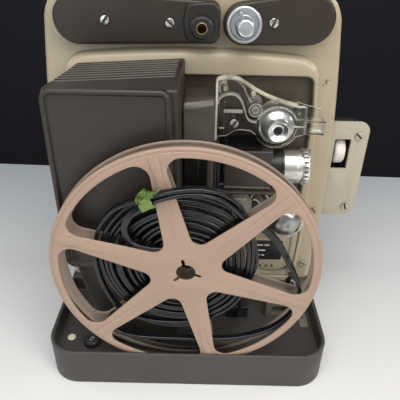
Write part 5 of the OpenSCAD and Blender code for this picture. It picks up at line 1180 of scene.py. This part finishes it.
# ------------------------------------------------------------------ twist tie
def tie():
    c0 = Vector((-22.4, -85.7, 164.4))
    d = Vector((cos(radians(27)), 0, sin(radians(27))))
    n = Vector((-d.z, 0, d.x))
    yv = Vector((0, -1, 0))
    def wrap(t0, t1, rn, ry, seed, th=0.5, turns=1.0, a_off=0.0):
        rings = []
        m = 40
        for i in range(m + 1):
            a = 2 * pi * turns * i / m + a_off
            f = i / m
            cr = 0.75 * mn.noise(Vector((cos(a) * 2.1 + seed, sin(a) * 2.1, seed * 1.7)))
            o = n * ((rn + cr) * cos(a)) + yv * ((ry + 0.6 * cr) * sin(a))
            un = (n * (cos(a) / rn) + yv * (sin(a) / ry)).normalized()
            ring = []
            for u, v in ((0, 0), (0.28, 0.16), (0.5, 0.28), (0.72, 0.16), (1, 0), (1, 1), (0.72, 1.22), (0.5, 1.42), (0.28, 1.22), (0, 1)):
                tt = t0 + (t1 - t0) * u + 0.9 * mn.noise(Vector((a * 1.3 + seed, u * 3, 4.2)))
                ring.append(tuple(c0 + d * tt + o + un * (th * (v - 0.5))))
            rings.append(ring)
        return loft(rings)
    def ribbon(pts, w0, w1, seed, th=0.35):
        rings = []
        P = []
        for i in range(len(pts) - 1):
            for j in range(6):
                t = j / 6
                p0, p1, p2, p3 = (Vector(pts[max(i - 1, 0)]), Vector(pts[i]), Vector(pts[i + 1]), Vector(pts[min(i + 2, len(pts) - 1)]))
                P.append(0.5 * (2 * p1 + (p2 - p0) * t + (2 * p0 - 5 * p1 + 4 * p2 - p3) * t * t + (3 * p1 - p0 - 3 * p2 + p3) * t ** 3))
        P.append(Vector(pts[-1]))
        for i, p in enumerate(P):
            f = i / (len(P) - 1)
            t = (P[min(i + 1, len(P) - 1)] - P[max(i - 1, 0)]).normalized()
            side = (Vector((0.55 * sin(5 * f + seed), -0.25, 0)) + t.cross(Vector((0, -1, 0)))).normalized()
            up = t.cross(side).normalized()
            w = w0 + (w1 - w0) * f + 0.5 * mn.noise(Vector((f * 9 + seed, 1.3, seed)))
            wig = 0.35 * sin(f * 19 + seed)
            ring = []
            for u, v in ((-1, -1), (-0.35, -0.2), (0.35, -1.3), (1, -0.6), (1, 0.4), (0.35, -0.3), (-0.35, 0.8), (-1, 0)):
                ring.append(tuple(p + side * (u * w / 2) + up * (v * th + wig)))
            rings.append(ring)
        return loft(rings)
    def band(t0, t1, rn, ry, th):
        """Ribbed band round both strands, closed."""
        rings, na, nt = [], 56, 26
        for i in range(na):
            a = 2 * pi * i / na
            ca, sa = cos(a), sin(a)
            k = (abs(ca) ** 3 + abs(sa) ** 3) ** (-1 / 3)
            un = (n * (ca / rn) + yv * (sa / ry)).normalized()
            o = n * (rn * k * ca) + yv * (ry * k * sa)
            e0 = t0 + 0.8 * mn.noise(Vector((ca * 2.3, sa * 2.3, 3.1)))
            e1 = t1 + 0.9 * mn.noise(Vector((ca * 2.3, sa * 2.3, 8.4)))
            ring = []
            for j in range(nt + 1):
                t = e0 + (e1 - e0) * j / nt
                rib = 0.26 * sin(2 * pi * t / 1.25 + 0.6 * sin(2 * a)) + 0.45 * mn.noise(Vector((ca * 1.9 + 4, sa * 1.9, t * 0.35)))
                ring.append(tuple(c0 + d * t + o + un * (th + rib)))
            for j in range(nt, -1, -4):
                t = e0 + (e1 - e0) * j / nt
                ring.append(tuple(c0 + d * t + o - un * 0.15))
            rings.append(ring)
        return loft(rings, loop=True)
    def patch(rows, nu, nv, y0, amp, th, seed):
        """Crumpled sheet through rows of (x, z) points, closed by a back layer."""
        def at(row, u):
            m = len(row) - 1
            i = min(int(u * m), m - 1)
            f = u * m - i
            return row[i][0] + (row[i + 1][0] - row[i][0]) * f, row[i][1] + (row[i + 1][1] - row[i][1]) * f
        grid = []
        for j in range(nv + 1):
            v = j / nv * (len(rows) - 1)
            k = min(int(v), len(rows) - 2)
            line = []
            for i in range(nu + 1):
                u = i / nu
                (xa, za), (xb, zb) = at(rows[k], u), at(rows[k + 1], u)
                f = v - k
                x, z = xa + (xb - xa) * f, za + (zb - za) * f
                q = Vector((x * 0.55 + seed, z * 0.55, seed * 1.3))
                y = y0 - amp * abs(mn.noise(q)) * 1.6 - 0.7 * amp * mn.noise(q * 2.3) - 0.5 * sin(7 * u + 4 * v)
                line.append((x + 0.5 * mn.noise(q * 1.7), y, z + 0.5 * mn.noise(q * 1.9 + Vector((3, 1, 2)))))
            grid.append(line)
        V, F, w = [], [], nu + 1
        for dy in (0.0, th):
            V += [(x, y + dy, z) for line in grid for x, y, z in line]
        o = w * (nv + 1)
        for j in range(nv):
            for i in range(nu):
                a = j * w + i
                F += [(a, a + 1, a + w + 1, a + w), (o + a, o + a + w, o + a + w + 1, o + a + 1)]
        edge = [i for i in range(w)] + [j * w + nu for j in range(1, nv + 1)] + [nv * w + i for i in range(nu - 1, -1, -1)] + [j * w for j in range(nv - 1, 0, -1)]
        for a, b in zip(edge, edge[1:] + edge[:1]):
            F.append((a, o + a, o + b, b))
        return V, F
    rows = [[(-28.4, 163.6), (-25.2, 165.6), (-22, 167.6), (-18.8, 169.2)], [(-29.0, 167.0), (-26, 169.4), (-23, 170.6), (-20.2, 171.0)], [(-28.7, 170.2), (-26.4, 172.6), (-24, 175.2), (-21.6, 172.8)]]
    parts = [band(-6.1, 2.2, 4.3, 2.8, 0.5), patch(rows, 26, 18, -89.2, 1.1, 0.4, 2.7),
             ribbon([(-23.4, -89.6, 170.8), (-20.6, -90.0, 172.0), (-18.2, -89.6, 172.6), (-15.9, -88.8, 174.2)], 2.6, 1.5, 2.1), ribbon([(-21.6, -89.4, 169.8), (-19.2, -89.6, 171.2), (-16.8, -89.0, 171.8)], 2.0, 1.2, 5.1)]
    put(mesh_obj("cord_tie", parts, [M["tie_light"], M["tie"], M["tie"], M["tie"]], 50), "reel", "tie_plastic", "twist_tie")
tie()

# ------------------------------------------------------------------ table, backdrop, light
def stage():
    def plain(name, V, F, mat):
        me = bpy.data.meshes.new(name)
        me.from_pydata(V, [], F)
        me.materials.append(mat)
        ob = bpy.data.objects.new(name, me)
        scene.collection.objects.link(ob)
    t = Tree("table_white_painted_shade")
    c = t.mix(t.ramp(t.noise(3, 3, 0.5), 0.3, 0.7), (0.76, 0.755, 0.74), (0.81, 0.805, 0.79))
    sx = t.n("ShaderNodeSeparateXYZ")
    t.l(t.co, sx.inputs[0])
    # painted shade: the table darkens and cools towards its rear edge
    c = t.mix(t.ramp(sx.outputs[1], -0.16, 0.27), c, (0.40, 0.425, 0.45))
    t.l(c, t.b.inputs["Base Color"])
    t.set("Roughness", 0.55)
    t.bump((t.noise(900, 2, 0.5), 0.05, 0.0001))
    s = 3.0
    e0, e1 = 0.2835, 0.2655                      # rear edge of the table, left and right
    n = 6
    V, F = [], []
    rows = [(-s, -s, 0.0), (0.0, 0.0, 0.0)] + [(0.004 * sin(pi / 2 * i / n), 0.004 * sin(pi / 2 * i / n), -0.004 * (1 - cos(pi / 2 * i / n))) for i in range(1, n + 1)] + [(0.004, 0.004, -0.05)]
    for k, (a, b, z) in enumerate(rows):
        ya = a if k == 0 else 0.2745 + (e0 - e1) / 0.57 * s + a
        yb = b if k == 0 else 0.2745 - (e0 - e1) / 0.57 * s + b
        V += [(-s, ya, z), (s, yb, z)]
    for k in range(len(rows) - 1):
        F.append((2 * k, 2 * k + 1, 2 * k + 3, 2 * k + 2))
    plain("floor", V, F, t.mat)
    t = Tree("backdrop_dark")
    c = t.mix(t.ramp(t.noise(2, 4, 0.5), 0.3, 0.7), (0.0165, 0.016, 0.020), (0.0205, 0.020, 0.0245))
    t.l(c, t.b.inputs["Base Color"])
    t.set("Roughness", 0.95)
    t.set("Specular IOR Level", 0.1)
    plain("backdrop", [(-s, 0.95, -1.2), (s, 0.95, -1.2), (s, 0.95, 3.0), (-s, 0.95, 3.0)], [(0, 1, 2, 3)], t.mat)
    w = bpy.data.worlds.new("world")
    scene.world = w
    w.use_nodes = True
    bg = w.node_tree.nodes["Background"]
    bg.inputs[0].default_value = (0.93, 0.96, 1.0, 1)
    bg.inputs[1].default_value = 0.22
    def area(name, loc, target, size, power, col=(1, 1, 1), size_y=None):
        ld = bpy.data.lights.new(name, "AREA")
        ld.energy, ld.color, ld.size = power, col, size
        if size_y:
            ld.shape, ld.size_y = "RECTANGLE", size_y
        lo = bpy.data.objects.new(name, ld)
        scene.collection.objects.link(lo)
        lo.location = loc
        lo.rotation_mode = "QUATERNION"
        lo.rotation_quaternion = (Vector(target) - Vector(loc)).to_track_quat("-Z", "Y")
    area("key", (0.02, -0.46, 1.15), (0, -0.1, 0.1), 1.1, 12, (1, 0.985, 0.965), 0.7)
    area("fill", (0.9, -0.9, 0.8), (0, 0, 0.12), 0.7, 8.2, (1, 0.96, 0.90))
    area("front", (-0.7, -1.2, 0.55), (0, 0, 0.12), 0.8, 4.8, (0.95, 0.98, 1))
    area("rim", (-0.5, 0.75, 1.0), (0, 0.05, 0.2), 0.5, 1.0, (0.92, 0.96, 1))
    area("side_l", (-0.85, 0.16, 0.62), (0, 0, 0.2), 0.20, 1.1, (0.96, 0.98, 1))
    area("side_r", (0.85, 0.16, 0.62), (0, 0, 0.2), 0.20, 1.3, (1, 0.97, 0.92))
stage()
